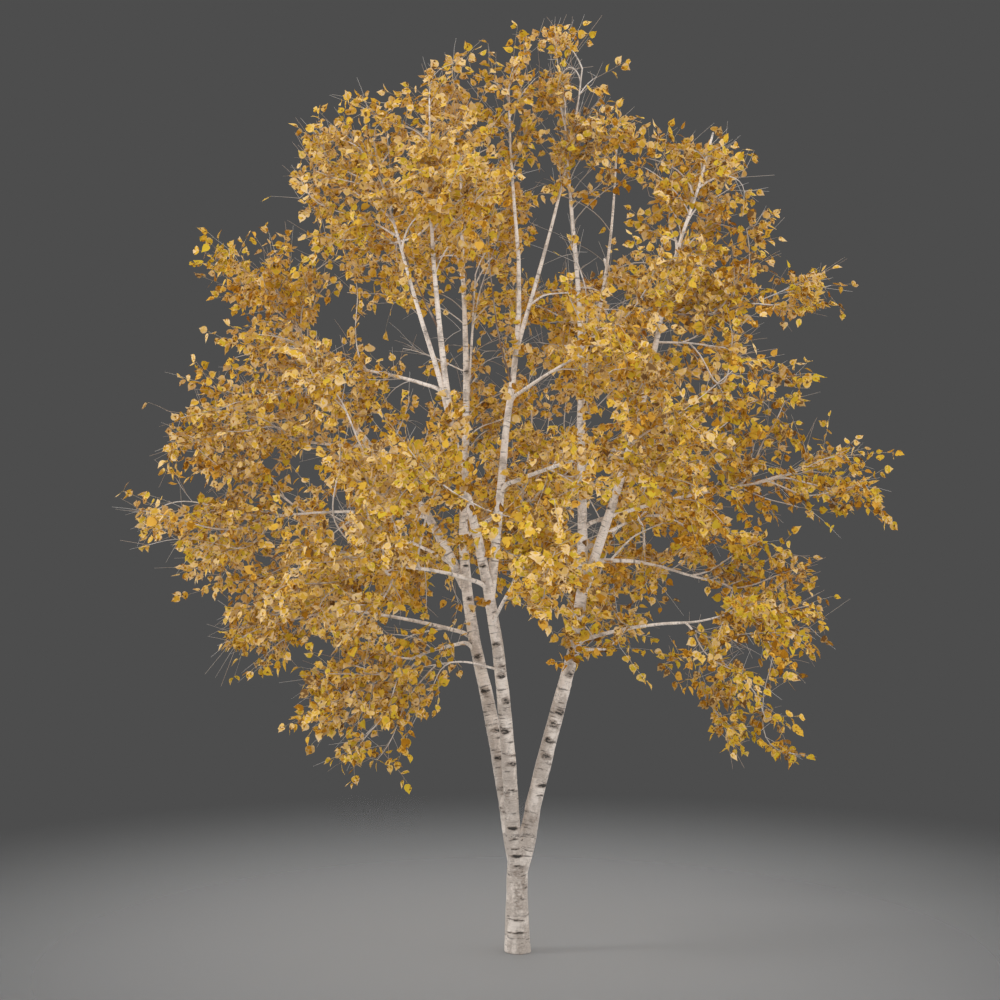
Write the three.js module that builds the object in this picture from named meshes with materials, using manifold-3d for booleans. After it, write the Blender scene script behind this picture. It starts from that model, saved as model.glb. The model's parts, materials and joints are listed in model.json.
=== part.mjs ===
/**
 * A silver birch in autumn leaf, seven metres tall: one short trunk that forks into three stems,
 * the leaders and boughs that branch from them, and the masses of foliage that they carry.
 *
 * Lengths are in millimetres and angles in degrees. X points right, Y to the back and Z up, and the
 * origin is the middle of the flat cut under the trunk, at ground level.
 * A bearing is a compass angle seen from above: 0 is right, 90 back, 180 left and 270 front.
 * A lean is measured from upright: 0 is straight up, 90 is level, and more than 90 droops.
 */
import * as THREE from 'three';
import { mergeVertices } from 'three/addons/utils/BufferGeometryUtils.js';
import Module from 'manifold-3d';

// ---------------------------------------------------------------- driving dimensions

const TREE_HEIGHT = 7000;
const CLEARANCE = 0.3; // between solids that meet
const FORK_HEIGHT = 770; // where the trunk parts into its three stems
const TAPER = 1.15; // over 1, a limb thins faster near its foot than near its tip
const BITE = 130; // how far a bough runs on past the face of the mass that it enters
const SEAT_DEPTH = 60; // how far under the fork the foot of a stem starts, before it is cut off level
const SHEATH = 1.3 * CLEARANCE; // how much a limb is swollen when it cuts its neighbours

const TRUNK = {
  foot: 202, // diameter at the cut, over the root flare
  waist: 156,
  fork: 214,
  waistHeight: 560,
  bow: 1.5, // lean one way at the foot and the other way at the fork
  flarePower: 1.2, // over 1, the root flare is hollow
  swellPower: 0.8, // under 1, the swelling under the fork is full
};

/** The three stems. `off` is how far the foot stands from the middle of the fork. */
const STEMS = {
  stem_middle: {
    foot: 122, tip: 12, length: 5620, off: 46, side: 240,
    bearing: 215, lean: [4, 4.5, 8, 13.5, 18, 8, 6.5, 2, -1],
  },
  stem_left: {
    foot: 126, tip: 12, length: 5600, off: 48, side: 130,
    bearing: 145, lean: [9, 12, 16, 7, -4, 0, 3, 1, 4],
  },
  stem_right: {
    foot: 132, tip: 12, length: 5750, off: 50, side: 0,
    bearing: 12, lean: [8.5, 15.5, 15.5, 0.5, -1.5, 1, -4.5, -6, 0],
  },
};

/** Leaders leave a stem, or each other, at the height `from` and climb as strongly as the stem does. */
const LEADERS = {
  leader_left: {
    on: 'stem_left', from: 2680, foot: 78, tip: 16, length: 2950,
    bearing: 165, lean: [26, 31, 46, 33, 27, 40],
  },
  leader_middle: {
    on: 'stem_middle', from: 2640, foot: 76, tip: 12, length: 3850,
    bearing: [10, 50, 50, 20], lean: [6, 6, 7, 14, 2, -7, -4, 0],
  },
  leader_front: {
    on: 'stem_middle', from: 3860, foot: 46, tip: 14, length: 1900,
    bearing: 205, lean: [12, 20, 16, 20],
  },
  leader_top: {
    on: 'leader_middle', from: 4480, foot: 36, tip: 10, length: 2250,
    bearing: [10, 20], lean: [17, 16, 13, 6],
  },
  leader_right: {
    on: 'stem_right', from: 2640, foot: 80, tip: 14, length: 3600,
    bearing: [-20, -30], lean: [20, 19, 16, 11, 22, 14],
  },
  leader_back: {
    on: 'stem_right', from: 4180, foot: 40, tip: 12, length: 2200,
    bearing: 66, lean: [30, 30, 15, 4],
  },
};

/**
 * Boughs leave a limb at the height `from` and run out to a mass of foliage. `arch` lifts the middle
 * of a bough over the straight line to that mass.
 */
const BOUGHS = {
  bough_left_high: { on: 'leader_front', from: 4170, to: 'upper_left', arch: 110, foot: 30, tip: 18 },
  bough_left: { on: 'leader_left', from: 3790, to: 'middle_left', arch: -60, foot: 30, tip: 18 },
  bough_left_tip: { on: 'leader_left', from: 3240, to: 'middle_left_tip', arch: 160, foot: 30, tip: 16 },
  bough_left_front: { on: 'stem_middle', from: 2740, to: 'low_left_front', arch: 140, foot: 36, tip: 20 },
  bough_left_low: { on: 'stem_left', from: 2340, to: 'low_left', arch: 110, foot: 34, tip: 18 },
  bough_left_hanging: { on: 'stem_left', from: 2290, to: 'hanging_left', arch: 130, foot: 32, tip: 18 },
  bough_middle_low: { on: 'stem_middle', from: 2480, to: 'low_front', arch: 60, foot: 28, tip: 16 },
  bough_middle: { on: 'leader_middle', from: 3470, to: 'middle_front_right', arch: 70, foot: 34, tip: 18 },
  bough_middle_high: { on: 'leader_middle', from: 4120, to: 'upper_front_right', arch: 50, foot: 30, tip: 16 },
  bough_right_arching: { on: 'stem_right', from: 2900, to: 'low_right', arch: 300, foot: 38, tip: 18 },
  bough_right_low: { on: 'stem_right', from: 2300, to: 'low_right_front', arch: 120, foot: 34, tip: 18 },
  bough_right_hanging: { on: 'stem_right', from: 2240, to: 'hanging_right', arch: 200, foot: 32, tip: 16 },
  bough_right: { on: 'leader_right', from: 3720, to: 'middle_right_tip', arch: 330, foot: 34, tip: 18 },
  bough_right_inner: { on: 'stem_right', from: 3180, to: 'middle_right_tip', arch: 120, foot: 34, tip: 18 },
  bough_back_left: { on: 'stem_left', from: 2820, to: 'back_left', arch: 90, foot: 38, tip: 20 },
  bough_back: { on: 'stem_left', from: 3080, to: 'back_middle', arch: 90, foot: 36, tip: 20 },
  bough_back_right: { on: 'stem_right', from: 2980, to: 'back_right', arch: 90, foot: 38, tip: 20 },
};

/**
 * The masses of foliage. The middle of each stands `out` from the axis of the trunk on its bearing and
 * `up` above the ground, and it is `long` outwards, `wide` across and `high` upwards.
 */
const MASSES = {
  hanging_left: { bearing: 197, out: 1160, up: 2030, long: 1100, wide: 1000, high: 1200 },
  low_left: { bearing: 178, out: 1850, up: 2580, long: 1000, wide: 1200, high: 950 },
  low_left_front: { bearing: 222, out: 1650, up: 2900, long: 1200, wide: 1150, high: 950 },
  low_front: { bearing: 276, out: 1750, up: 3180, long: 1000, wide: 740, high: 1150 },
  low_right_back: { bearing: 27, out: 700, up: 2480, long: 750, wide: 800, high: 850 },
  low_right_front: { bearing: 325, out: 1760, up: 2520, long: 900, wide: 900, high: 800 },
  low_right: { bearing: 3, out: 1850, up: 2500, long: 950, wide: 1100, high: 850 },
  hanging_right: { bearing: 353, out: 1620, up: 1980, long: 800, wide: 900, high: 980 },

  middle_left_tip: { bearing: 182, out: 2350, up: 3160, long: 1300, wide: 1300, high: 700 },
  middle_left: { bearing: 183, out: 2050, up: 3900, long: 1300, wide: 1300, high: 1000 },
  middle_left_front: { bearing: 238, out: 1780, up: 3560, long: 1100, wide: 1000, high: 1100 },
  middle_front_right: { bearing: 306, out: 1610, up: 3780, long: 1000, wide: 1000, high: 1000 },
  middle_right_low: { bearing: 356, out: 1500, up: 3100, long: 1000, wide: 1100, high: 800 },
  middle_right: { bearing: 0, out: 1600, up: 4000, long: 900, wide: 1300, high: 1000 },
  middle_right_tip: { bearing: 1, out: 2250, up: 3550, long: 1000, wide: 1200, high: 750 },
  back_left: { bearing: 130, out: 1950, up: 3150, long: 1300, wide: 1300, high: 1800 },
  back_middle: { bearing: 86, out: 2050, up: 3350, long: 1100, wide: 1300, high: 1700 },
  back_right: { bearing: 51, out: 1920, up: 3300, long: 1200, wide: 1200, high: 1700 },

  upper_left: { bearing: 175, out: 1750, up: 4400, long: 1100, wide: 1600, high: 750 },
  upper_left_tip: { bearing: 167, out: 1950, up: 5050, long: 950, wide: 1050, high: 720 },
  inner_back: { bearing: 104, out: 560, up: 4300, long: 850, wide: 1050, high: 1000 },
  upper_front_right: { bearing: 306, out: 1110, up: 4500, long: 900, wide: 1000, high: 900 },
  upper_right: { bearing: 4, out: 1350, up: 5050, long: 900, wide: 1300, high: 900 },
  upper_right_tip: { bearing: 3, out: 2100, up: 4950, long: 1000, wide: 900, high: 500 },
  upper_back_right: { bearing: 70, out: 1350, up: 4850, long: 1150, wide: 1400, high: 1150 },
  upper_back_left: { bearing: 123, out: 1670, up: 5500, long: 1000, wide: 1200, high: 900 },

  high_left: { bearing: 193, out: 1240, up: 5750, long: 1000, wide: 1250, high: 1200 },
  high_front: { bearing: 241, out: 920, up: 5650, long: 1000, wide: 1100, high: 1000 },
  high_back: { bearing: 101, out: 880, up: 5700, long: 1250, wide: 1200, high: 1100 },
  high_middle: { bearing: 8, out: 520, up: 5950, long: 750, wide: 900, high: 950 },
  high_right: { bearing: 0, out: 1300, up: 5750, long: 1000, wide: 1200, high: 850 },
  top_left: { bearing: 180, out: 440, up: 6430, long: 850, wide: 900, high: 700 },
  top: { bearing: 18, out: 330, up: 6580, long: 950, wide: 900, high: 800 },
};

const LARGE_MASS = 1040; // a mass whose sizes average more than this has finer facets
const UNEVEN = 0.18; // how far a mass swells and sinks from an even egg, as a share of its size
const WAVES = { count: 4, slowest: 2.5, fastest: 5.5 }; // radians of swell and sink over half an egg
const WEEP = 0.18; // how much longer the underside of a mass hangs than its upper side rises

/** How finely each kind of piece is faceted. */
const FACETS = {
  trunk: { sides: 12, steps: 9 },
  stem: { sides: 8, steps: 14 },
  leader: { sides: 6, steps: 9 },
  bough: { sides: 5, stepLength: 220, fewestSteps: 3 },
};

const BARK = new THREE.MeshStandardMaterial({ color: 0xd8cfc4, roughness: 0.75, metalness: 0 });
const LEAF = new THREE.MeshStandardMaterial({ color: 0xc98f2c, roughness: 0.6, metalness: 0 });

// ---------------------------------------------------------------- solids

const wasm = await Module();
wasm.setup();

const MERGE_WITHIN = 1e-3; // corners closer than this are one corner

/** A closed geometry as a solid that can be joined and cut. */
function solid(geometry) {
  const bare = geometry.clone();
  bare.deleteAttribute('normal');
  bare.deleteAttribute('uv');
  const merged = mergeVertices(bare, MERGE_WITHIN);
  return new wasm.Manifold(new wasm.Mesh({
    numProp: 3,
    vertProperties: new Float32Array(merged.attributes.position.array),
    triVerts: new Uint32Array(merged.index.array),
  }));
}

/** The largest piece of a solid, as a geometry: slivers that a cut leaves loose are dropped. */
function geometryOf(cut) {
  const pieces = cut.decompose().sort((a, b) => b.volume() - a.volume());
  const { vertProperties, triVerts } = pieces[0].getMesh();
  const geometry = new THREE.BufferGeometry();
  geometry.setAttribute('position', new THREE.BufferAttribute(vertProperties, 3));
  geometry.setIndex(new THREE.BufferAttribute(triVerts, 1));
  geometry.computeVertexNormals();
  return geometry;
}

/** A block that fills the space on the far side of a plane through `point`, away from `normal`. */
function blockBehind(point, normal) {
  const size = 2 * TREE_HEIGHT;
  const block = new THREE.BoxGeometry(size, size, size).translate(0, 0, -size / 2);
  block.applyQuaternion(new THREE.Quaternion().setFromUnitVectors(new THREE.Vector3(0, 0, 1), normal));
  return solid(block.translate(point.x, point.y, point.z));
}

// ---------------------------------------------------------------- limbs

/** A value that may be one number, or a list of numbers spread evenly along a limb. */
function along(values, share) {
  if (!Array.isArray(values)) return values;
  const place = share * (values.length - 1);
  const i = Math.min(Math.floor(place), values.length - 2);
  return THREE.MathUtils.lerp(values[i], values[i + 1], place - i);
}

function direction(bearing, lean) {
  const b = THREE.MathUtils.degToRad(bearing);
  const l = THREE.MathUtils.degToRad(lean);
  return new THREE.Vector3(Math.sin(l) * Math.cos(b), Math.sin(l) * Math.sin(b), Math.cos(l));
}

/** The middle line of a limb that sets off from `start` and follows its bearing and lean. */
function grow(start, { bearing, lean, length }, steps) {
  const points = [start.clone()];
  for (let i = 0; i < steps; i++) {
    const share = (i + 0.5) / steps;
    const step = direction(along(bearing, share), along(lean, share));
    points.push(points[i].clone().addScaledVector(step, length / steps));
  }
  return points;
}

/** A closed tube round a line of points. `diameter` is a function of the share of the length. */
function tube(points, diameter, sides, extra = 0) {
  const steps = points.length - 1;
  const curve = new THREE.CatmullRomCurve3(points);
  const { tangents, normals, binormals } = curve.computeFrenetFrames(steps);
  const ring = [];
  for (let i = 0; i <= steps; i++) {
    const centre = curve.getPointAt(i / steps);
    if (i === steps) centre.addScaledVector(tangents[i], extra);
    const radius = diameter(i / steps) / 2 + extra;
    for (let j = 0; j < sides; j++) {
      const turn = (2 * Math.PI * j) / sides;
      ring.push(centre.clone()
        .addScaledVector(normals[i], radius * Math.cos(turn))
        .addScaledVector(binormals[i], radius * Math.sin(turn)));
    }
  }
  return skin(ring, sides, steps);
}

/** The closed surface over `steps` + 1 rings of points, with a flat cap at each end. */
function skin(ring, sides, steps) {
  const index = [];
  const last = steps * sides;
  for (let i = 0; i < steps; i++) {
    for (let j = 0; j < sides; j++) {
      const a = i * sides + j;
      const b = i * sides + ((j + 1) % sides);
      index.push(a, b, a + sides, b, b + sides, a + sides);
    }
  }
  for (let j = 1; j < sides - 1; j++) {
    index.push(0, j + 1, j);
    index.push(last, last + j, last + j + 1);
  }
  const geometry = new THREE.BufferGeometry().setFromPoints(ring);
  geometry.setIndex(index);
  return geometry;
}

/** Where the middle line of a limb passes a height. */
function atHeight(limb, height) {
  const i = limb.points.findIndex((point) => point.z > height);
  const below = limb.points[i - 1];
  const share = (height - below.z) / (limb.points[i].z - below.z);
  return below.clone().lerp(limb.points[i], share);
}

const limbs = {};

/** Records a limb and cuts its foot to the limbs that are there already. */
function addLimb(name, points, { foot, tip }, sides, cutters = []) {
  const diameter = (share) => tip + (foot - tip) * (1 - share) ** TAPER;
  let body = solid(tube(points, diameter, sides));
  for (const cutter of cutters) body = body.subtract(cutter);
  for (const other of Object.values(limbs)) body = body.subtract(other.sheath);
  limbs[name] = {
    points,
    geometry: geometryOf(body),
    sheath: solid(tube(points, diameter, sides, SHEATH)), // what it cuts keeps its clearance
  };
}

/** The trunk stands on level rings, so that its cut at the ground and its fork are both flat. */
function makeTrunk() {
  const { sides, steps } = FACETS.trunk;
  const points = grow(
    new THREE.Vector3(),
    { bearing: 180, lean: [TRUNK.bow, -TRUNK.bow], length: FORK_HEIGHT },
    steps,
  );
  const ring = [];
  points.forEach((point, i) => {
    const height = (FORK_HEIGHT * i) / steps;
    const flare = Math.max(0, 1 - height / TRUNK.waistHeight) ** TRUNK.flarePower;
    const rise = (height - TRUNK.waistHeight) / (FORK_HEIGHT - TRUNK.waistHeight);
    const swell = Math.max(0, rise) ** TRUNK.swellPower;
    const diameter =
      TRUNK.waist + (TRUNK.foot - TRUNK.waist) * flare + (TRUNK.fork - TRUNK.waist) * swell;
    for (let j = 0; j < sides; j++) {
      const turn = (2 * Math.PI * j) / sides;
      ring.push(new THREE.Vector3(
        point.x + (diameter / 2) * Math.cos(turn),
        point.y + (diameter / 2) * Math.sin(turn),
        height,
      ));
    }
  });
  return { points, geometry: skin(ring, sides, steps) };
}

const trunk = makeTrunk();
const fork = trunk.points.at(-1);

function makeStems() {
  const seat = new THREE.Vector3(0, 0, FORK_HEIGHT + CLEARANCE);
  const belowFork = blockBehind(seat, new THREE.Vector3(0, 0, 1));
  for (const [name, stem] of Object.entries(STEMS)) {
    const start = direction(stem.side, 90).multiplyScalar(stem.off).add(fork);
    start.z -= SEAT_DEPTH;
    const { sides, steps } = FACETS.stem;
    addLimb(name, grow(start, stem, steps), stem, sides, [belowFork]);
  }
}

function makeLeaders() {
  for (const [name, leader] of Object.entries(LEADERS)) {
    const start = atHeight(limbs[leader.on], leader.from);
    const { sides, steps } = FACETS.leader;
    addLimb(name, grow(start, leader, steps), leader, sides);
  }
}

// ---------------------------------------------------------------- masses of foliage

/** Repeatable random numbers from 0 to 1. */
function seededRandom(seed) {
  let state = seed;
  return () => {
    state = (state * 16807) % 2147483647;
    return state / 2147483647;
  };
}

/** How much a mass swells or sinks in each direction: a few slow waves over an even egg. */
function unevenness(seed) {
  const random = seededRandom(seed);
  const waves = Array.from({ length: WAVES.count }, () => ({
    way: new THREE.Vector3(random() - 0.5, random() - 0.5, random() - 0.5).normalize(),
    pitch: THREE.MathUtils.lerp(WAVES.slowest, WAVES.fastest, random()),
    start: 2 * Math.PI * random(),
  }));
  return (point) => waves.reduce(
    (swell, { way, pitch, start }) => swell + (UNEVEN / 2) * Math.sin(pitch * point.dot(way) + start),
    1,
  );
}

/** Half the sizes of a mass along its own axes. Its underside hangs lower than its upper side rises. */
function halfSizes({ long, wide, high }, isUnderside) {
  return new THREE.Vector3(long, wide, high * (isUnderside ? 1 + WEEP : 1 - WEEP)).multiplyScalar(0.5);
}

/** A closed, uneven egg. */
function foliage({ size, centre, swell }) {
  const isLarge = (size.long + size.wide + size.high) / 3 > LARGE_MASS;
  const egg = new THREE.IcosahedronGeometry(1, isLarge ? 2 : 1);
  const place = egg.attributes.position;
  for (let i = 0; i < place.count; i++) {
    const way = new THREE.Vector3().fromBufferAttribute(place, i);
    const point = way.clone().multiply(halfSizes(size, way.z < 0)).multiplyScalar(swell(way));
    place.setXYZ(i, point.x, point.y, point.z);
  }
  return egg
    .rotateZ(THREE.MathUtils.degToRad(size.bearing))
    .translate(centre.x, centre.y, centre.z);
}

/** How far a mass reaches from its middle in a given direction. */
function reach({ size, swell }, way) {
  const upright = new THREE.Vector3(0, 0, 1);
  const own = way.clone().applyAxisAngle(upright, -THREE.MathUtils.degToRad(size.bearing));
  own.divide(halfSizes(size, own.z < 0));
  return swell(own.clone().normalize()) / own.length();
}

/** Lifts the topmost mass so that its crest is the height of the tree. */
function liftToCrest(geometry) {
  geometry.computeBoundingBox();
  return geometry.translate(0, 0, TREE_HEIGHT - geometry.boundingBox.max.z);
}

const FIRST_SEED = 11;
const SEED_STEP = 7;

const masses = Object.entries(MASSES).map(([name, size], i) => {
  const centre = direction(size.bearing, 90).multiplyScalar(size.out).setZ(size.up);
  const mass = { name, size, centre, swell: unevenness(FIRST_SEED + SEED_STEP * i) };
  const shape = foliage(mass);
  mass.body = solid(name === 'top' ? liftToCrest(shape) : shape);
  return mass;
});

const SLIMMEST = 0.1; // a seam comes no nearer to the middle of a mass, as a share of the way across

/** Two masses that run into each other part along a plane through the ring where they meet. */
function partMasses() {
  masses.forEach((a, i) => {
    for (const b of masses.slice(i + 1)) {
      if (a.body.intersect(b.body).isEmpty()) continue;
      const way = b.centre.clone().sub(a.centre);
      const gap = way.length();
      way.normalize();
      const ra = reach(a, way);
      const rb = reach(b, way.clone().negate());
      const meeting = (gap + (ra * ra - rb * rb) / gap) / (2 * gap);
      const share = THREE.MathUtils.clamp(meeting, SLIMMEST, 1 - SLIMMEST);
      const seam = a.centre.clone().lerp(b.centre, share);
      const half = way.clone().multiplyScalar(CLEARANCE / 2);
      a.body = a.body.subtract(blockBehind(seam.clone().sub(half), way.clone().negate()));
      b.body = b.body.subtract(blockBehind(seam.clone().add(half), way));
    }
  });
}

function isInside(mass, point) {
  const way = point.clone().sub(mass.centre);
  const distance = way.length();
  return distance < reach(mass, way.normalize());
}

const BEND_AT = 0.45; // where along its way a bough is lifted by its arch
const SHORTEST = 0.1; // of the way to the middle of its mass
const SEARCH_STEP = 0.01;

/** A bough runs towards the middle of its mass, and ends just inside the first mass that it enters. */
function makeBoughs() {
  const { sides, stepLength, fewestSteps } = FACETS.bough;
  for (const [name, bough] of Object.entries(BOUGHS)) {
    const start = atHeight(limbs[bough.on], bough.from);
    const target = masses.find((mass) => mass.name === bough.to).centre;
    const bend = start.clone().lerp(target, BEND_AT);
    bend.z += bough.arch;
    const line = new THREE.QuadraticBezierCurve3(start, bend, target);
    const length = line.getLength();
    let end = SHORTEST;
    while (!masses.some((mass) => isInside(mass, line.getPointAt(end)))) end += SEARCH_STEP;
    end = Math.min(1, end + BITE / length);
    const steps = Math.max(fewestSteps, Math.round((end * length) / stepLength));
    const points = Array.from({ length: steps + 1 }, (_, i) => line.getPointAt((end * i) / steps));
    addLimb(name, points, bough, sides);
  }
}

// ---------------------------------------------------------------- the whole tree

makeStems();
makeLeaders();
partMasses();
makeBoughs();

const birch = new THREE.Group();

function show(name, geometry, material) {
  const mesh = new THREE.Mesh(geometry, material);
  mesh.name = name;
  birch.add(mesh);
}

show('trunk', trunk.geometry, BARK);
for (const [name, limb] of Object.entries(limbs)) show(name, limb.geometry, BARK);
for (const mass of masses) {
  let body = mass.body;
  for (const limb of Object.values(limbs)) body = body.subtract(limb.sheath);
  show(`foliage_${mass.name}`, geometryOf(body), LEAF);
}

export default birch;
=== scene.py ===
"""A silver birch in autumn leaf, grown on the frame's limbs and inside its masses of foliage.

The bark of the trunk, stems, leaders and boughs follows the sections of the frame's limbs. From those
limbs branches grow out to a spread of points in the masses, and each point carries leafy shoots.
Lengths are in metres. X points right, Y to the back and Z up, with the ground at Z = 0.
"""

import json
import math

import bmesh
import bpy
import numpy as np
from bpy.props import FloatProperty, FloatVectorProperty, IntProperty, PointerProperty
from bpy.types import Operator, Panel, PropertyGroup
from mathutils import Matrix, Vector, noise

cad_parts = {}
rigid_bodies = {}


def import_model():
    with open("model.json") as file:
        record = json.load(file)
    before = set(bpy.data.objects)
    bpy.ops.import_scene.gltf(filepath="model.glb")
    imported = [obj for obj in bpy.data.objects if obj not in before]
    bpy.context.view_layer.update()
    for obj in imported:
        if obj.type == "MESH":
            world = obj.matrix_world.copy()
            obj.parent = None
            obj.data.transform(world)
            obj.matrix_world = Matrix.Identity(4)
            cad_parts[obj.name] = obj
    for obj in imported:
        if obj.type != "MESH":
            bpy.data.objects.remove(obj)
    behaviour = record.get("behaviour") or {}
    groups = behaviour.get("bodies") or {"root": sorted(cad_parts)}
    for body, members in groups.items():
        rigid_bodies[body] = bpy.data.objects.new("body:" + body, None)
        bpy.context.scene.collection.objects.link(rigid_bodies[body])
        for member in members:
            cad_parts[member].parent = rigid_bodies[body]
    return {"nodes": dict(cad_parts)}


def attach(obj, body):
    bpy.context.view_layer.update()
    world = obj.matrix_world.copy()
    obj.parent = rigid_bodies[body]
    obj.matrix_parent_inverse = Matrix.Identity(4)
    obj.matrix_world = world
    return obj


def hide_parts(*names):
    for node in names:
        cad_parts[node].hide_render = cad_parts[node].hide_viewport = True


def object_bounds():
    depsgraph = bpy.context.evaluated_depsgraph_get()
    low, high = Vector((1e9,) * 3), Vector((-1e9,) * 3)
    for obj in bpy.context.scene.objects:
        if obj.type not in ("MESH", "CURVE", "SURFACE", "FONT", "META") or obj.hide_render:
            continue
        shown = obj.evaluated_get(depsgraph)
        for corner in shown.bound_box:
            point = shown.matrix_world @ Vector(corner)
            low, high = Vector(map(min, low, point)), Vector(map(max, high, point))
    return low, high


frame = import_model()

CAD_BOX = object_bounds()

bl_info = {
    "name": "Silver Birch",
    "version": (1, 0, 0),
    "blender": (4, 5, 0),
    "location": "View3D > Sidebar > Birch",
    "description": "Grows the bark, branches, twigs and leaves of a silver birch on its frame",
    "category": "Add Mesh",
}

BODY = "root"
UP = np.array((0.0, 0.0, 1.0))
LIMB_KINDS = ("stem", "leader", "bough")
FRAME_SIDES = {"trunk": 12, "stem": 8, "leader": 6, "bough": 5}  # sides of the frame's tubes
CROWN_FOOT = 1.3  # height of the lowest sprays
CROWN_HEIGHT = 5.2  # from there to the highest

# Storeys of the crown, each from the height at which the middles of its masses start
STOREYS = {"low": 0.0, "lower": 2.85, "middle": 3.45, "upper": 4.2, "high": 5.3}

# Bark
FINE_STEP = 0.02  # spacing on a line where the foot of another limb is sought
SIDE_TAPER = (1.0, 0.72, 0.4)  # radius of a side limb at its foot, middle and end, as a share
# For each kind of limb, the sides of its bark mesh, and its rings' height as a share of their spacing
SIDES_AND_RINGS = {"stem": (22, 1.0), "leader": (16, 1.2), "bough": (12, 1.6), "side": (8, 1.6)}
SCAR_SWELL = 1.6  # how far a scar stands out, as a share of the bark's relief
FULL_RELIEF = 0.03  # radius from which a limb has the bark's full relief
SCAR_SPACING = 0.2  # between scars of lost twigs, at most about
THINNEST_SCARRED = 0.008  # radius under which a limb has no such scars
TRUNK_SIDES = 48  # of the tubes that the fork is skinned from
FORK_OVERLAP = 0.08  # how far those tubes run on over the top of the fork
STEM_OVERLAP = 0.03  # how far down into the fork's skin the stems' own bark starts
EVENING = 32  # passes that even the skin of the fork out
FIXED_ENDS = (0.004, 0.012)  # over how much height the skin stays put, at the ground and the top
SETTLING = (0.02, 0.05)  # over how much height the relief dies out, at the ground and the top
NECK = (0.54, 0.23, 0.35)  # where the trunk's own tube thins, over what height, and by what share
STEM_FEET = ((0.26, 0.55, 0.75), (0.13, 0.8, 0.95))  # how deep, how far in and how slim, as shares
TRUNK_SCARS = ((3, 0.1, 0.72), (4, 0.8, 1.28))  # how many, from and to: on the trunk, on each stem

# Branches
TRIES = 12  # for each spray that a mass is to hold
BESIDE_STEP = 0.05  # spacing of the points on a limb that sprays stand beside
BESIDE = (0.06, 0.3)  # how far from the limb they stand
BARE_FOOT = 0.3  # share of a bough or a side limb that has no sprays beside it
CLEAR = 1.2  # how far out of an opening they keep, where 1 is its edge
WANDER = 0.12  # how far each joint of a branch strays from its way
WIDENING = 1.3  # how much further sprays draw when none is in reach
FOOT_SPREAD = 1.25  # how much thicker a branch is at its foot than at its first joint
RUNS_ON = 2.2  # a limb's tip under this many times a branch's radius carries on into it
FOOT_JOINTS = 6  # over which a branch thins from its foot
WHITE_FROM = 0.0042  # radius from which a branch has white bark
THREE_SIDED = 0.003  # radius under which a twig has only three sides

# Shoots
LOWEST_SHOOT = 0.3  # height under which no shoot reaches
AWAY_FROM = 0.9  # how far under a spray the point on the tree's middle is that it grows away from
HANGING = 0.55  # how much the lowest shoots hang
BEFORE_TIP = 0.62  # share of a shoot with a bare tip that has leaves
TIP_TAPER = 0.42  # radius of a shoot's tip, as a share of its foot's
LEAST_LEAFY = 0.08  # to which a leafy shoot is shortened at most, to stay in the box
LEAST_BARE = 0.05  # and one without leaves
OPENING_EDGE = (0.75, 1.05)  # where in an opening leaves stop, where 1 is its edge
SHORT_SHOOTS = 0.7  # share of the thin joints of a branch that carry leaves of their own
SHORT_SHOOT_LOAD = 6  # sprays beyond which a joint is too thick for them
SHORT_SHOOT_LEAVES = 3

# Leaves
TINTS = ("straw", "gold", "honey", "amber", "ochre", "russet", "tan", "umber")
PAINTED_LIGHT_SHARES = (0.50, 0.32, 0.08, 0.04, 0.02, 0.005, 0.03, 0.005)  # of each tint, high in the crown and to the left, where paler tints are painted light
PAINTED_SHADE_SHARES = (0.08, 0.24, 0.13, 0.12, 0.17, 0.05, 0.18, 0.03)  # and low down on the right, where deeper tints are painted shade
# The next deeper tint of each
DEEPER_TINTS = ("gold", "honey", "ochre", "russet", "honey", "amber", "umber", "russet")
SPOTTED = 0.13  # share of a leaf's faces with a brown spot
STRAY = 0.35  # share of leaves whose tint isn't that of their spray
TWICE_DEEPER = 0.55  # share of leaves whose heart is deeper by two tints, and not by one
STALK_RADIUS = 0.0011

# Stage
KEY_FROM = (-82, 32)  # bearing and height in degrees
FILL_FROM = (85, 22)
FILL_ANGLE = 40  # degrees
FLOOR_SIDES = 128
LENS = 65  # millimetres
SENSOR = 36  # millimetres

# Each step has random draws of its own, with this added to the seed
STEPS = {
    "trunk": 0,
    "stems": 20,
    "leaders": 30,
    "boughs": 40,
    "side_limbs": 45,
    "branches": 50,
    "shoots": 60,
    "leaves": 70,
}

# How thickly each mass is leaved, where that isn't 1
THICKNESS = {
    "hanging_right": 0.6,
    "middle_right": 0.6,
    "middle_right_low": 0.57,
    "back_right": 0.75,
    "low_right": 0.57,
    "low_right_back": 0.57,
    "low_right_front": 0.75,
    "inner_back": 0.6,
    "upper_right_tip": 0.7,
}

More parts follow.
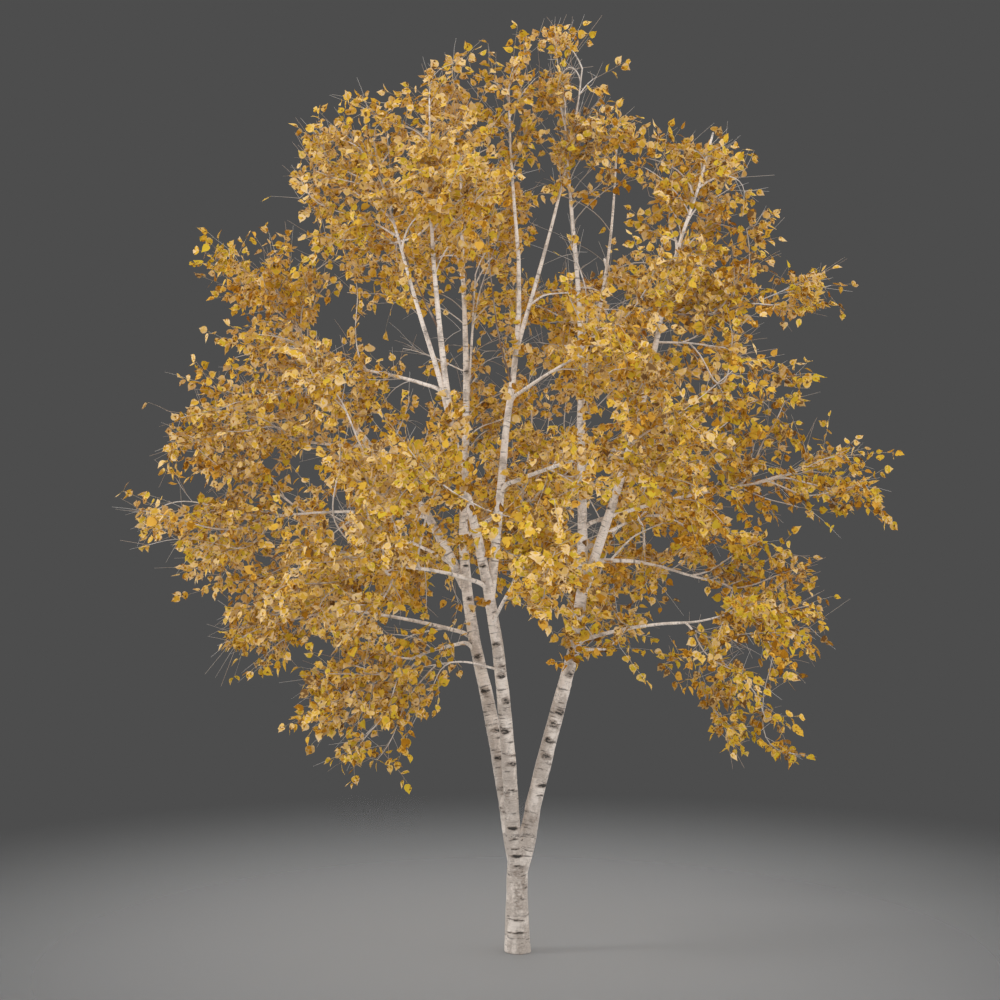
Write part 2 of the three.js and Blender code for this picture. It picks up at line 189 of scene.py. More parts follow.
# Gaps kept open to the sky, as seen from the front: (x, z, half width, half height) at the trunk's depth
OPENINGS = (
    (-0.77, 4.59, 0.27, 0.24), (0.40, 5.47, 0.36, 0.19), (0.52, 5.12, 0.20, 0.11),
    (0.73, 4.87, 0.12, 0.12), (-0.20, 4.52, 0.10, 0.15), (0.15, 4.58, 0.13, 0.12),
    (0.17, 5.17, 0.12, 0.12), (-0.15, 4.25, 0.10, 0.10), (-0.39, 2.76, 0.12, 0.22),
    (-0.06, 2.33, 0.22, 0.34), (0.50, 3.22, 0.19, 0.19), (0.44, 3.99, 0.13, 0.12),
    (1.33, 2.58, 0.17, 0.17), (1.68, 2.25, 0.16, 0.12), (-1.55, 3.66, 0.09, 0.14),
    (-1.32, 3.31, 0.12, 0.17), (-0.88, 2.46, 0.17, 0.11), (-1.00, 1.62, 0.12, 0.12),
    (-2.20, 2.18, 0.13, 0.14), (-2.28, 2.45, 0.15, 0.20), (-2.60, 2.96, 0.17, 0.20),
    (-2.98, 3.13, 0.22, 0.26), (-1.70, 1.90, 0.14, 0.14), (-1.40, 1.55, 0.13, 0.12),
    (-1.74, 6.03, 0.20, 0.22), (-1.72, 5.70, 0.10, 0.14), (0.12, 5.77, 0.15, 0.12),
    (0.50, 6.62, 0.16, 0.18), (0.25, 7.03, 0.36, 0.12), (1.66, 6.16, 0.22, 0.12),
    (-0.76, 4.28, 0.18, 0.11), (-0.73, 3.97, 0.13, 0.11), (-0.47, 4.68, 0.06, 0.34),
    (-0.80, 6.70, 0.20, 0.16), (-1.00, 1.28, 0.14, 0.14), (0.18, 6.62, 0.13, 0.10),
    (-2.66, 4.05, 0.14, 0.10), (-0.62, 2.62, 0.10, 0.12), (0.47, 6.36, 0.14, 0.13),
    (0.47, 5.77, 0.12, 0.13), (1.36, 6.10, 0.09, 0.10), (1.06, 4.57, 0.10, 0.10),
    (-0.42, 4.87, 0.08, 0.10), (0.47, 5.18, 0.17, 0.13), (1.68, 5.77, 0.10, 0.10),
    (2.28, 5.17, 0.10, 0.10), (-2.53, 3.37, 0.13, 0.12), (0.17, 3.97, 0.10, 0.10),
    (0.17, 4.27, 0.10, 0.10), (-0.45, 4.27, 0.09, 0.12), (1.06, 2.47, 0.12, 0.11),
    (1.06, 3.07, 0.12, 0.10), (-1.62, 5.42, 0.10, 0.10), (1.28, 2.82, 0.13, 0.10),
    (1.96, 1.87, 0.12, 0.14), (-1.33, 3.07, 0.10, 0.10),
)

# Side limbs that show in the gaps: bearer, share of the way up it, middle, end, radius at the foot
SIDE_LIMBS = {
    "rising_left": ("stem_left", 0.56, (-0.35, 0.30, 4.55), (-0.32, 0.33, 5.10), 0.013),
    "rising_left_fork": ("rising_left", 0.65, (-0.29, 0.29, 4.95), (-0.20, 0.26, 5.22), 0.007),
    "brown_left": ("stem_middle", 0.70, (-0.69, -0.46, 4.84), (-0.82, -0.50, 5.15), 0.009),
    "dark_middle": ("leader_middle", 0.42, (-0.14, -0.13, 4.58), (-0.20, -0.20, 5.02), 0.010),
    "low_left": ("stem_middle", 0.24, (-0.40, -0.18, 2.18), (-0.70, -0.24, 2.15), 0.010),
    "low_left_second": ("bough_left_low", 0.21, (-0.76, 0.20, 2.36), (-1.02, 0.18, 2.24), 0.008),
    "left_hanging": ("bough_left_tip", 0.36, (-1.26, 0.24, 3.22), (-1.50, 0.22, 3.04), 0.008),
    "middle_rising": ("bough_middle", 0.44, (0.38, -0.58, 3.84), (0.56, -0.62, 4.04), 0.008),
    "middle_low": ("bough_middle", 0.42, (0.33, -0.54, 3.54), (0.46, -0.60, 3.46), 0.007),
    "arching": ("leader_top", 0.15, (0.21, 0.02, 4.91), (0.44, 0.05, 4.93), 0.010),
    "short_right": ("bough_middle_high", 0.56, (0.32, -0.44, 4.32), (0.44, -0.50, 4.31), 0.007),
    "right_level": ("leader_right", 0.56, (1.26, -0.20, 4.53), (1.52, -0.26, 4.49), 0.009),
    "right_high": ("leader_right", 0.62, (1.42, -0.20, 4.74), (1.80, -0.24, 4.85), 0.009),
    "right_rising": ("bough_right_arching", 0.24, (0.88, 0.12, 3.10), (1.10, 0.14, 3.20), 0.009),
    "arching_tip": ("bough_right_arching", 1.0, (1.66, 0.12, 2.68), (1.93, 0.14, 2.24), 0.009),
    "arching_hanging": ("arching_tip", 0.40, (1.52, 0.06, 2.40), (1.40, 0.02, 2.24), 0.006),
}

# Leafy places between the masses: (x, y, z, radius)
TUFTS = (
    (0.17, 0.1, 6.17, 0.26), (0.10, -0.1, 6.40, 0.16), (-0.73, -0.3, 2.10, 0.24),
    (-1.22, -0.2, 4.22, 0.26), (-0.99, -0.2, 4.23, 0.18), (1.36, 0.0, 4.50, 0.20),
    (1.95, 0.0, 4.30, 0.22), (-2.15, -0.1, 3.36, 0.20), (-1.81, 0.1, 3.37, 0.20),
    (-0.51, -0.5, 3.79, 0.20), (-0.10, 0.8, 4.10, 0.28), (0.30, 0.9, 3.70, 0.28),
    (0.35, -1.0, 4.95, 0.24), (1.05, -0.9, 4.90, 0.24), (-1.37, 0.1, 5.10, 0.20),
    (-0.13, 0.2, 4.94, 0.18), (0.99, -0.2, 4.27, 0.22), (1.03, 0.1, 5.45, 0.18),
    (1.40, 0.1, 5.45, 0.16), (1.96, -0.1, 2.80, 0.22), (1.50, 0.1, 1.95, 0.16),
    (1.14, -0.1, 2.20, 0.14), (1.63, 0.0, 4.57, 0.20), (-2.19, 0.0, 5.15, 0.17),
    (0.36, -0.3, 2.46, 0.18), (-1.58, 0.3, 4.90, 0.24), (-1.18, 0.2, 4.95, 0.14),
    (1.52, 0.0, 5.50, 0.18), (-2.20, 0.0, 4.27, 0.18), (0.75, -1.4, 4.35, 0.26),
    (1.40, -1.1, 4.40, 0.22), (-1.30, -1.3, 4.20, 0.26), (0.30, 1.9, 4.20, 0.30),
    (-0.80, 1.7, 4.00, 0.28), (1.10, 1.7, 4.10, 0.28), (0.60, 0.9, 2.60, 0.26),
    (-0.60, 1.0, 2.60, 0.22), (0.20, 1.2, 2.75, 0.22), (0.30, 0.8, 4.60, 0.24),
    (-0.75, 1.1, 4.55, 0.22), (0.90, -0.4, 3.60, 0.18), (0.50, 0.2, 3.75, 0.18),
    (-0.62, 0.2, 6.10, 0.22), (-0.62, -0.1, 5.85, 0.18), (-0.75, -0.25, 1.85, 0.17),
    (-1.03, 0.0, 4.87, 0.16), (-0.73, 0.2, 4.90, 0.12), (-0.43, 0.1, 5.17, 0.11),
    (-0.13, 0.2, 4.87, 0.12), (-0.43, -0.4, 3.67, 0.16), (1.36, 0.0, 3.97, 0.20),
    (-0.48, -0.3, 3.05, 0.15), (2.26, 0.0, 2.47, 0.13), (-2.52, 0.0, 3.74, 0.13),
    (-1.03, 0.0, 3.97, 0.13), (0.32, -1.15, 3.58, 0.22), (0.42, -1.55, 3.50, 0.18),
    (0.38, -0.85, 3.90, 0.18), (0.20, 0.75, 3.05, 0.24), (0.60, 0.80, 3.10, 0.24),
    (-0.30, 0.90, 3.10, 0.22), (0.45, 0.80, 4.95, 0.20), (-1.00, -0.90, 3.30, 0.22),
    (-0.65, -1.00, 3.42, 0.18), (1.70, 0.0, 5.44, 0.13), (-1.33, -0.1, 2.18, 0.14),
    (-1.93, 0.0, 3.07, 0.13), (1.96, 0.1, 2.78, 0.14), (2.02, 0.0, 1.55, 0.14),
    (-1.05, 0.1, 6.33, 0.14), (0.45, -0.2, 2.22, 0.12), (0.15, -1.30, 3.25, 0.20),
    (0.30, -1.60, 3.20, 0.20), (-0.35, -1.20, 3.50, 0.15),
)

BROWN_LIMBS = ("brown_left", "dark_middle", "right_high")  # whose bark hasn't turned white yet

# Heights of the black eyes on the fronts of the stems
STEM_EYES = {
    "stem_left": (1.43, 1.63, 1.93, 2.18, 2.62, 3.92, 4.35),
    "stem_middle": (1.42, 1.66, 1.89, 2.08, 2.31, 2.90, 3.85, 3.97),
    "stem_right": (1.46, 1.57, 1.69, 1.79, 2.07, 2.46, 2.74, 3.40, 3.95),
}

# Scars on the front of the trunk and the feet of the stems. Those with a depth under 1 are soft grey
# smudges down the middle of the trunk's front, partly grey weathering and partly painted shade: (x, z, half
# width, half height, depth)
FRONT_SCARS_AND_SHADE = (
    (-0.035, 0.937, 0.050, 0.020, 1.25),
    (-0.025, 0.858, 0.040, 0.010, 1.05),
    (-0.020, 0.783, 0.040, 0.010, 1.00),
    (-0.010, 0.728, 0.058, 0.018, 1.15),
    (-0.005, 0.655, 0.045, 0.010, 1.10),
    (0.010, 0.610, 0.060, 0.085, 0.58),
    (-0.010, 0.158, 0.100, 0.012, 1.10),
    (0.005, 0.250, 0.070, 0.009, 0.95),
    (0.188, 1.243, 0.056, 0.024, 1.25),
    (0.175, 1.168, 0.050, 0.012, 1.10),
    (0.120, 0.995, 0.045, 0.050, 0.58),
    (-0.085, 1.190, 0.060, 0.065, 0.55),
    (0.005, 0.420, 0.046, 0.170, 0.62),
    (0.045, 0.520, 0.034, 0.070, 0.62),
)


# ------------------------------------------------------------------ settings


def colour(name, description, value):
    """A colour that the user can change, in linear red, green and blue."""
    return FloatVectorProperty(
        name=name, description=description, subtype="COLOR", size=3, min=0, max=1, default=value
    )


def length(name, description, value, low=0.0, high=10.0):
    """A length in metres."""
    return FloatProperty(
        name=name, description=description, default=value, min=low, max=high,
        unit="LENGTH", subtype="DISTANCE", precision=4,
    )


def number(name, description, value, low=0.0, high=10.0):
    """A plain number."""
    return FloatProperty(name=name, description=description, default=value, min=low, max=high)


class BirchBark(PropertyGroup):
    """Bark of the trunk, stems, leaders, boughs and branches."""

    white: colour("White", "Clean outer bark", (0.86, 0.775, 0.70))
    # This grey also colours the soft smudges on the trunk's front, which are partly painted shade.
    shade: colour("Shade", "Weathered bark in soft patches", (0.27, 0.215, 0.175))
    dark: colour("Dark", "Lenticels, bands and scars", (0.035, 0.029, 0.025))
    brown: colour("Brown", "Bark of the limbs that haven't turned white yet", (0.15, 0.095, 0.065))
    twig: colour("Twig", "Thin grey twigs, and the bark of young wood", (0.52, 0.48, 0.45))
    young: colour("Young twig", "Browner twigs", (0.42, 0.36, 0.31))
    newest: colour("Newest shoot", "This year's shoots", (0.40, 0.30, 0.23))
    ring_spacing: length("Ring spacing", "Height of one ring of the bark mesh", 0.011, 0.002, 0.1)
    fork_voxel: length("Fork detail", "Size of the cells that skin the fork", 0.0065, 0.002, 0.05)
    fork_top: length("Fork top", "Height where the stems stand clear of each other", 1.3, 0.8, 2.0)
    relief: length("Relief", "Depth of the ridges and lumps of the bark", 0.0022, 0.0, 0.01)


class BirchGrowth(PropertyGroup):
    """How branches grow out from the limbs into the masses."""

    seed: IntProperty(name="Seed", description="Another seed grows another tree", default=7, min=1)
    sprays: number("Sprays", "Sprays of leaves in each cubic metre of a mass", 135, 1, 1000)
    fill: number("Fill", "How far out in a mass sprays are placed, from its middle", 0.86, 0.1, 1)
    beside: number("Beside", "Sprays beside each metre of a limb", 6, 0, 50)
    lowest: length("Lowest", "Height from which sprays stand beside the stems", 3.1, 0.5, 7)
    spacing: length("Spacing", "Least distance between two sprays", 0.1, 0.0, 1.0)
    step: length("Step", "Length of one joint of a growing branch", 0.07, 0.01, 0.5)
    reach: length("Reach", "How near a branch must be before a spray draws it on", 0.6, 0.1, 3.0)
    arrive: length("Arrival", "How near a branch comes to a spray", 0.1, 0.01, 0.5)
    inertia: number("Inertia", "How much a branch keeps its direction", 0.9, 0, 5)
    lift: number("Lift", "How much a young branch climbs", 0.22, -1, 1)
    ahead: number("Ahead", "How much a spray prefers a joint that already grows its way", 0.6, 0, 3)
    tip_radius: length("Tip radius", "Radius of a branch where it carries one spray", 0.0023, 0.0005, 0.01)
    pipe: number("Pipe", "Higher means thinner branches for the same number of sprays", 2.45, 1.5, 4)


class BirchShoots(PropertyGroup):
    """Leafy shoots at the ends of the branches."""

    shortest: length("Shortest", "Least length of a shoot", 0.14, 0.02, 1.0)
    longest: length("Longest", "Greatest length of a shoot", 0.36, 0.02, 1.5)
    per_spray: number("Shoots", "Shoots in each spray, on average", 1.4, 1, 4)
    radius: length("Radius", "Radius of a shoot at its foot", 0.0021, 0.0003, 0.01)
    bare_tips: number("Bare tips", "Share of shoots that run on past their last leaf", 0.45, 0, 1)
    bare: number("Bare shoots", "Straight shoots without a leaf in each spray, on average", 0.38, 0, 3)
    leaf_spacing: length("Leaf spacing", "Distance between two leaves on a shoot", 0.050, 0.01, 0.3)
    overhang: length("Overhang", "How far a shoot may reach past the box of the frame", 0.03, 0.0, 0.5)


class BirchLeaves(PropertyGroup):
    """Leaves and their tints."""

    size: length("Length", "Length of a blade", 0.067, 0.01, 0.3)
    broad: number("Breadth", "Breadth of a blade as a share of its length", 0.9, 0.2, 1.5)
    stalk: number("Stalk", "Length of the stalk as a share of the blade", 0.3, 0.05, 1)
    fold: number("Fold", "How steeply the halves of a blade rise from the midrib", 0.34, 0, 2)
    curl: number("Curl", "How far the tip of a blade turns down", 0.17, 0, 1)
    droop: number("Droop", "How strongly leaves hang", 0.55, 0, 2)
    straw: colour("Straw", "Palest tint", (0.74, 0.53, 0.28))
    gold: colour("Gold", "Most common tint", (0.73, 0.49, 0.16))
    honey: colour("Honey", "Deeper gold", (0.68, 0.41, 0.05))
    amber: colour("Amber", "Orange gold", (0.70, 0.385, 0.06))
    ochre: colour("Ochre", "Greenish gold", (0.58, 0.40, 0.035))
    russet: colour("Russet", "Turning brown", (0.42, 0.19, 0.015))
    tan: colour("Tan", "Dull and dry", (0.46, 0.29, 0.11))
    umber: colour("Umber", "Brown spots", (0.18, 0.095, 0.035))


class BirchStage(PropertyGroup):
    """Floor, light and camera."""

    floor: colour("Floor", "Plain pale floor", (0.24, 0.24, 0.24))
    backdrop: colour("Backdrop", "Grey of the studio", (0.0742, 0.0742, 0.0742))
    sky: number("Sky", "Strength of the light from all round", 1.09, 0, 10)
    key: number("Key", "Strength of the soft key light from the left", 0.75, 0, 20)
    fill: number("Fill", "Strength of the soft light from the right", 0.4, 0, 20)
    key_angle: FloatProperty(
        name="Key size", description="How large the key light looks from the tree",
        default=math.radians(12), min=0, max=math.pi, unit="ROTATION", subtype="ANGLE",
    )
    floor_radius: length("Floor radius", "Where the floor has faded out", 7.5, 0.5, 20)
    camera_distance: length("Camera distance", "From the trunk to the camera", 13.5, 2, 50)
    camera_height: length("Camera height", "Height of the camera over the ground", 3.374, 0, 20)
    camera_side: length("Camera side", "How far the camera stands to the right", -0.132, -10, 10)


def draws(context, step, more=0):
    """The random draws of one step, the same each time."""
    return np.random.default_rng(context.scene.birch_growth.seed + STEPS[step] + more)


SETTINGS = {
    "birch_bark": BirchBark,
    "birch_growth": BirchGrowth,
    "birch_shoots": BirchShoots,
    "birch_leaves": BirchLeaves,
    "birch_stage": BirchStage,
}


# ------------------------------------------------------------------ vectors and lines


def unit(vectors):
    """The same directions with a length of 1."""
    size = np.linalg.norm(vectors, axis=-1, keepdims=True)
    return vectors / np.maximum(size, 1e-9)


def across(vectors, axes):
    """What is left of each vector at right angles to its axis, with a length of 1."""
    return unit(vectors - axes * (vectors * axes).sum(-1, keepdims=True))


def directions_round(right, ahead, turns):
    """The directions at some turns round each of many axes, from two directions across it."""
    return right[:, None] * np.cos(turns)[:, None] + ahead[:, None] * np.sin(turns)[:, None]


def curve_through(points, spacing):
    """A smooth curve through points, with a new point about every `spacing`."""
    padded = np.vstack([2 * points[0] - points[1], points, 2 * points[-1] - points[-2]])
    out = []
    for a, b, c, d in zip(padded, padded[1:], padded[2:], padded[3:]):
        count = max(1, round(float(np.linalg.norm((c - b)[:3])) / spacing))
        t = (np.arange(count) / count)[:, None]
        square, cube = 2 * a - 5 * b + 4 * c - d, 3 * b - a - 3 * c + d
        out.append(0.5 * (2 * b + (c - a) * t + square * t**2 + cube * t**3))
    out.append(points[-1:])
    return np.vstack(out)


def distance_along(points):
    """How far along a line each of its points is."""
    return np.concatenate([[0.0], np.cumsum(np.linalg.norm(np.diff(points, axis=0), axis=1))])


def frames_along(points):
    """The direction of a line at each point, and two directions across it that never twist."""
    tangents = unit(np.gradient(points, axis=0))
    side = np.cross(tangents[0], (0.31, 0.95, 0.05) if abs(tangents[0][1]) < 0.8 else (1.0, 0.0, 0.0))
    normals = np.empty_like(points)
    for i, tangent in enumerate(tangents):
        side = side - tangent * (side @ tangent)
        side /= max(math.sqrt(side @ side), 1e-9)
        normals[i] = side
    return tangents, normals, np.cross(tangents, normals)


# ------------------------------------------------------------------ the limbs of the frame


def node_mesh(name):
    """The corners and the triangles of a node of the frame."""
    mesh = frame["nodes"][name].data
    mesh.calc_loop_triangles()
    corners = np.empty(3 * len(mesh.vertices))
    faces = np.empty(3 * len(mesh.loop_triangles), int)
    mesh.vertices.foreach_get("co", corners)
    mesh.loop_triangles.foreach_get("vertices", faces)
    return corners.reshape(-1, 3), faces.reshape(-1, 3)


def section(corners, faces, origin, axis):
    """The middle and the area of the cut that a plane makes through a closed mesh."""
    height = (corners - origin) @ axis
    above = height > 0
    crossing = above[faces].any(1) & ~above[faces].all(1)
    faces = faces[crossing]
    enter = np.zeros((len(faces), 3))
    leave = np.zeros((len(faces), 3))
    for k in range(3):
        a, b = faces[:, k], faces[:, (k + 1) % 3]
        share = height[a] / np.where(height[a] == height[b], 1, height[a] - height[b])
        point = corners[a] + (corners[b] - corners[a]) * share[:, None] - origin
        down, rising = above[a] & ~above[b], ~above[a] & above[b]
        enter[down] = point[down]
        leave[rising] = point[rising]
    wedge = np.cross(enter, leave) @ axis / 2
    area = wedge.sum()
    middle = ((enter + leave) * wedge[:, None]).sum(0) / (3 * area) + origin
    return middle, abs(area)


class Limb:
    """The middle line and the radii of one limb of the frame, from its foot to its tip."""

    def __init__(self, name, section_spacing=0.1):
        self.name = name
        self.kind = name.split("_")[0]
        corners, faces = node_mesh(name)
        middle = corners.mean(0)
        axis = UP if self.kind == "trunk" else np.linalg.svd(corners - middle)[2][0]
        height = (corners - middle) @ axis
        ends = height.min(), height.max()
        count = max(5, round((ends[1] - ends[0]) / section_spacing))
        margin = 0.35 * (ends[1] - ends[0]) / count
        stations = np.linspace(ends[0] + margin, ends[1] - margin, count)
        cuts = [section(corners, faces, middle + axis * z, axis) for z in stations]
        points = np.array([cut[0] for cut in cuts])
        areas = np.array([cut[1] for cut in cuts])
        if self.kind != "trunk" and areas[: count // 3].mean() < areas[-(count // 3):].mean():
            points, areas = points[::-1], areas[::-1]
        slant = np.abs(unit(np.gradient(points, axis=0)) @ axis)
        sides = FRAME_SIDES[self.kind]
        share_of_square = sides / 2 * math.sin(2 * math.pi / sides)
        radii = np.sqrt(areas * slant / share_of_square)
        self.line = np.column_stack([points, radii])

    def near(self, point):
        """The nearest point of the limb's line, with its radius."""
        gaps = np.linalg.norm(self.line[:, :3] - point, axis=1)
        return self.line[int(gaps.argmin())]

    def root_into(self, others):
        """Runs the limb's foot on into the middle of the limb that carries it."""
        foot = self.line[0, :3]

        def clearance(limb):
            """How far the foot is outside a limb."""
            near = limb.near(foot)
            return np.linalg.norm(near[:3] - foot) - near[3]

        bearer = min(others, key=clearance)
        carrier = curve_through(bearer.line, FINE_STEP)
        gap = np.linalg.norm(carrier[:, :3] - foot, axis=1)
        at = max(0, int(gap.argmin()) - round(float(gap.min()) / FINE_STEP))
        inner = np.append(carrier[at, :3], min(1.15 * self.line[0, 3], 0.9 * carrier[at, 3]))
        self.bearer = bearer.name
        self.line = np.vstack([inner, self.line])


class SideLimb:
    """A slender limb of its own, which one of the frame's limbs bears."""

    kind = "side"

    def __init__(self, name, bearer, share, middle, end, radius):
        self.name = name
        self.bearer = bearer.name
        carrier = curve_through(bearer.line, FINE_STEP)
        along = distance_along(carrier[:, :3])
        foot = carrier[int(np.searchsorted(along, share * along[-1] - 1e-6)), :3]
        shape = np.column_stack([np.array((foot, middle, end)), radius * np.array(SIDE_TAPER)])
        self.line = curve_through(shape, 0.1)


def read_limbs():
    """Every limb of the frame, each rooted in the one that bears it."""
    names = sorted(frame["nodes"])
    trunk = Limb("trunk")
    limbs = [Limb(name) for kind in LIMB_KINDS for name in names if name.startswith(kind)]
    bearers = [limb for limb in limbs if limb.kind != "bough"]
    for limb in limbs:
        if limb.kind != "stem":
            limb.root_into([other for other in bearers if other is not limb])
    return trunk, limbs


def side_limbs(limbs):
    """The side limbs, each borne by a limb of the frame or by the side limb before it."""
    known = {limb.name: limb for limb in limbs}
    for name, (bearer, *rest) in SIDE_LIMBS.items():
        known[name] = SideLimb(name, known[bearer], *rest)
    return [known[name] for name in SIDE_LIMBS]


TRUNK, LIMBS = read_limbs()
LIMBS += side_limbs(LIMBS)
STEMS = [limb for limb in LIMBS if limb.kind == "stem"]


def masses():
    """The corners and triangles of each mass of foliage, by name."""
    names = sorted(name for name in frame["nodes"] if name.startswith("foliage_"))
    return {name: node_mesh(name) for name in names}


def storey_of(height):
    """The storey of the crown that a height lies in."""
    return [name for name, start in STOREYS.items() if height >= start][-1]


# ------------------------------------------------------------------ meshes


def build_mesh(name, corners, faces, materials, material_index=None, smooth=True, attributes=()):
    """A mesh object from arrays. `faces` is a list of arrays, each with one row for each face."""
    mesh = bpy.data.meshes.new(name)
    faces = [np.asarray(group, int) for group in faces if len(group)]
    sizes = np.concatenate([np.full(len(group), group.shape[1]) for group in faces])
    starts = np.concatenate([[0], np.cumsum(sizes)[:-1]])
    mesh.vertices.add(len(corners))
    mesh.vertices.foreach_set("co", np.ascontiguousarray(corners, float).ravel())
    mesh.loops.add(int(sizes.sum()))
    mesh.loops.foreach_set("vertex_index", np.concatenate([group.ravel() for group in faces]))
    mesh.polygons.add(len(sizes))
    mesh.polygons.foreach_set("loop_start", starts)
    mesh.polygons.foreach_set("use_smooth", np.full(len(sizes), smooth))
    if material_index is not None:
        mesh.polygons.foreach_set("material_index", np.asarray(material_index, int))
    for material in materials:
        mesh.materials.append(material)
    for label, kind, field, values in attributes:
        layer = mesh.attributes.new(label, kind, "POINT")
        layer.data.foreach_set(field, np.ascontiguousarray(values, np.float32).ravel())
    mesh.update(calc_edges=True)
    mesh.validate()
    piece = bpy.data.objects.new(name, mesh)
    bpy.context.scene.collection.objects.link(piece)
    return piece


class Wood:
    """Gathers tubes of bark or twig into one mesh, with bark coordinates and scars at each corner."""

    def __init__(self):
        self.corners, self.quads, self.tips, self.bark, self.scars = [], [], [], [], []
        self.quad_tints, self.tip_tints = [], []
        self.count = 0

    def tube(self, line, sides, offset=0.0, relief=0.0, scars=(), tint=0):
        """Adds a tube round a line of points with radii, closed at its tip by a short cone."""
        points, radii = line[:, :3], line[:, 3]
        tangents, normals, binormals = frames_along(points)
        along = distance_along(points)
        turn = 2 * math.pi * np.arange(sides) / sides
        ring = directions_round(normals, binormals, turn)
        heights = np.repeat(along[:, None], sides, 1)
        flat = np.stack(
            [radii[:, None] * np.cos(turn), radii[:, None] * np.sin(turn), heights + offset], axis=2
        )
        mark = scar_marks(scars, radii, ring, along)
        swell = np.zeros(heights.shape)
        if relief:
            ridges = bark_relief(flat.reshape(-1, 3)).reshape(heights.shape)
            swell = relief * ridges + SCAR_SWELL * relief * mark
        corners = points[:, None] + ring * (radii[:, None] + swell)[:, :, None]
        corners = np.vstack([corners.reshape(-1, 3), points[-1] + tangents[-1] * radii[-1]])
        bark = np.vstack([flat.reshape(-1, 3), [[0, 0, along[-1] + offset]]])
        marks = np.append(mark.ravel(), 0)
        rows, columns = np.meshgrid(np.arange(len(points) - 1), np.arange(sides), indexing="ij")
        a = (rows * sides + columns).ravel()
        b = (rows * sides + (columns + 1) % sides).ravel()
        quads = np.stack([a, b, b + sides, a + sides], axis=1)
        last = (len(points) - 1) * sides + np.arange(sides)
        tip = np.stack([last, np.roll(last, -1), np.full(sides, len(points) * sides)], axis=1)
        self.corners.append(corners)
        self.quads.append(quads + self.count)
        self.tips.append(tip + self.count)
        self.quad_tints.append(np.full(len(quads), tint))
        self.tip_tints.append(np.full(sides, tint))
        self.bark.append(bark)
        self.scars.append(marks)
        self.count += len(corners)

    def build(self, name, *materials):
        """The gathered tubes as one object."""
        return build_mesh(
            name, np.vstack(self.corners), [np.vstack(self.quads), np.vstack(self.tips)], materials,
            np.concatenate(self.quad_tints + self.tip_tints),
            attributes=bark_layers(np.vstack(self.bark), np.concatenate(self.scars)),
        )


def bark_layers(place, mark):
    """What the bark's material reads from a mesh: bark coordinates, and how dark its scars are. On the
    trunk's front this includes soft smudges that are partly painted shade.
    """
    return [("bark", "FLOAT_VECTOR", "vector", place), ("scar", "FLOAT", "value", mark)]


def finish_piece(piece, replaced=()):
    """Fixes a piece to the body, and hides the nodes of the frame that it stands for."""
    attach(piece, BODY)
    if replaced:
        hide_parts(*replaced)
    return piece


# ------------------------------------------------------------------ bark


def bark_relief(points):
    """Low ridges round a limb and slow lumps along it, from about -1 to 1, by bark coordinates."""
    out = np.empty(len(points))
    for i, (x, y, z) in enumerate(points):
        ridges = noise.noise(Vector((9 * x, 9 * y, 55 * z)))
        lumps = noise.noise(Vector((14 * x + 5, 14 * y, 6 * z)))
        out[i] = 0.55 * ridges + 1.3 * lumps
    return out


def eye(sideways, upward, fullness=1.25):
    """How dark an eye-shaped scar is at a place, given as shares of its half width and half height."""
    return np.clip(fullness - sideways**2 - np.abs(upward) ** 1.5, 0, 1)


def scar_marks(scars, radii, ring, along):
    """How dark each corner of a tube is with scars: 1 in the middle of one, 0 away from them."""
    mark = np.zeros(ring.shape[:2])
    for where, way, width, height in scars:
        sideways = np.arccos(np.clip(ring @ way, -1, 1)) * radii[:, None] / width
        upward = (along - where)[:, None] / height
        mark = np.maximum(mark, eye(sideways, upward))
    return mark


def knots_on(limb, curve, rng):
    """Eye-shaped scars under the limbs that a limb bears, and where lost twigs once stood."""
    along = distance_along(curve[:, :3])
    knots = []
    for child in LIMBS:
        if getattr(child, "bearer", None) != limb.name:
            continue
        foot, radius = child.line[1, :3], child.line[1, 3]
        at = int(np.linalg.norm(curve[:, :3] - foot, axis=1).argmin())
        knots.append((along[at] - 0.1 * radius, unit(foot - curve[at, :3]), 1.9 * radius, 1.2 * radius))
    for height in STEM_EYES.get(limb.name, ()):
        at = int(np.abs(curve[:, 2] - height).argmin())
        radius = curve[at, 3]
        way = unit(np.array((rng.uniform(-0.3, 0.5), -1.0, 0.0)))
        knots.append((along[at], way, radius * rng.uniform(0.9, 1.2), radius * rng.uniform(0.5, 0.75)))
    where = SCAR_SPACING
    while where < along[-1] - 1.5 * SCAR_SPACING:
        radius = curve[int(np.searchsorted(along, where)), 3]
        if radius > THINNEST_SCARRED:
            way = unit(np.append(rng.normal(size=2), 0.1 * rng.normal()))
            knots.append((where, way, radius * rng.uniform(0.4, 1.1), radius * rng.uniform(0.12, 0.36)))
        where += SCAR_SPACING * rng.uniform(0.2, 1.2)
    return knots


def new_material(name, base, roughness):
    """A material with its plain colour and roughness set on the shader's own sockets."""
    material = bpy.data.materials.new(name)
    material.use_nodes = True
    shader = material.node_tree.nodes["Principled BSDF"]
    shader.inputs["Base Color"].default_value = (*base, 1)
    shader.inputs["Roughness"].default_value = roughness
    return material, shader


def plain_material(name, base, roughness):
    """A material of one plain colour."""
    return new_material(name, base, roughness)[0]


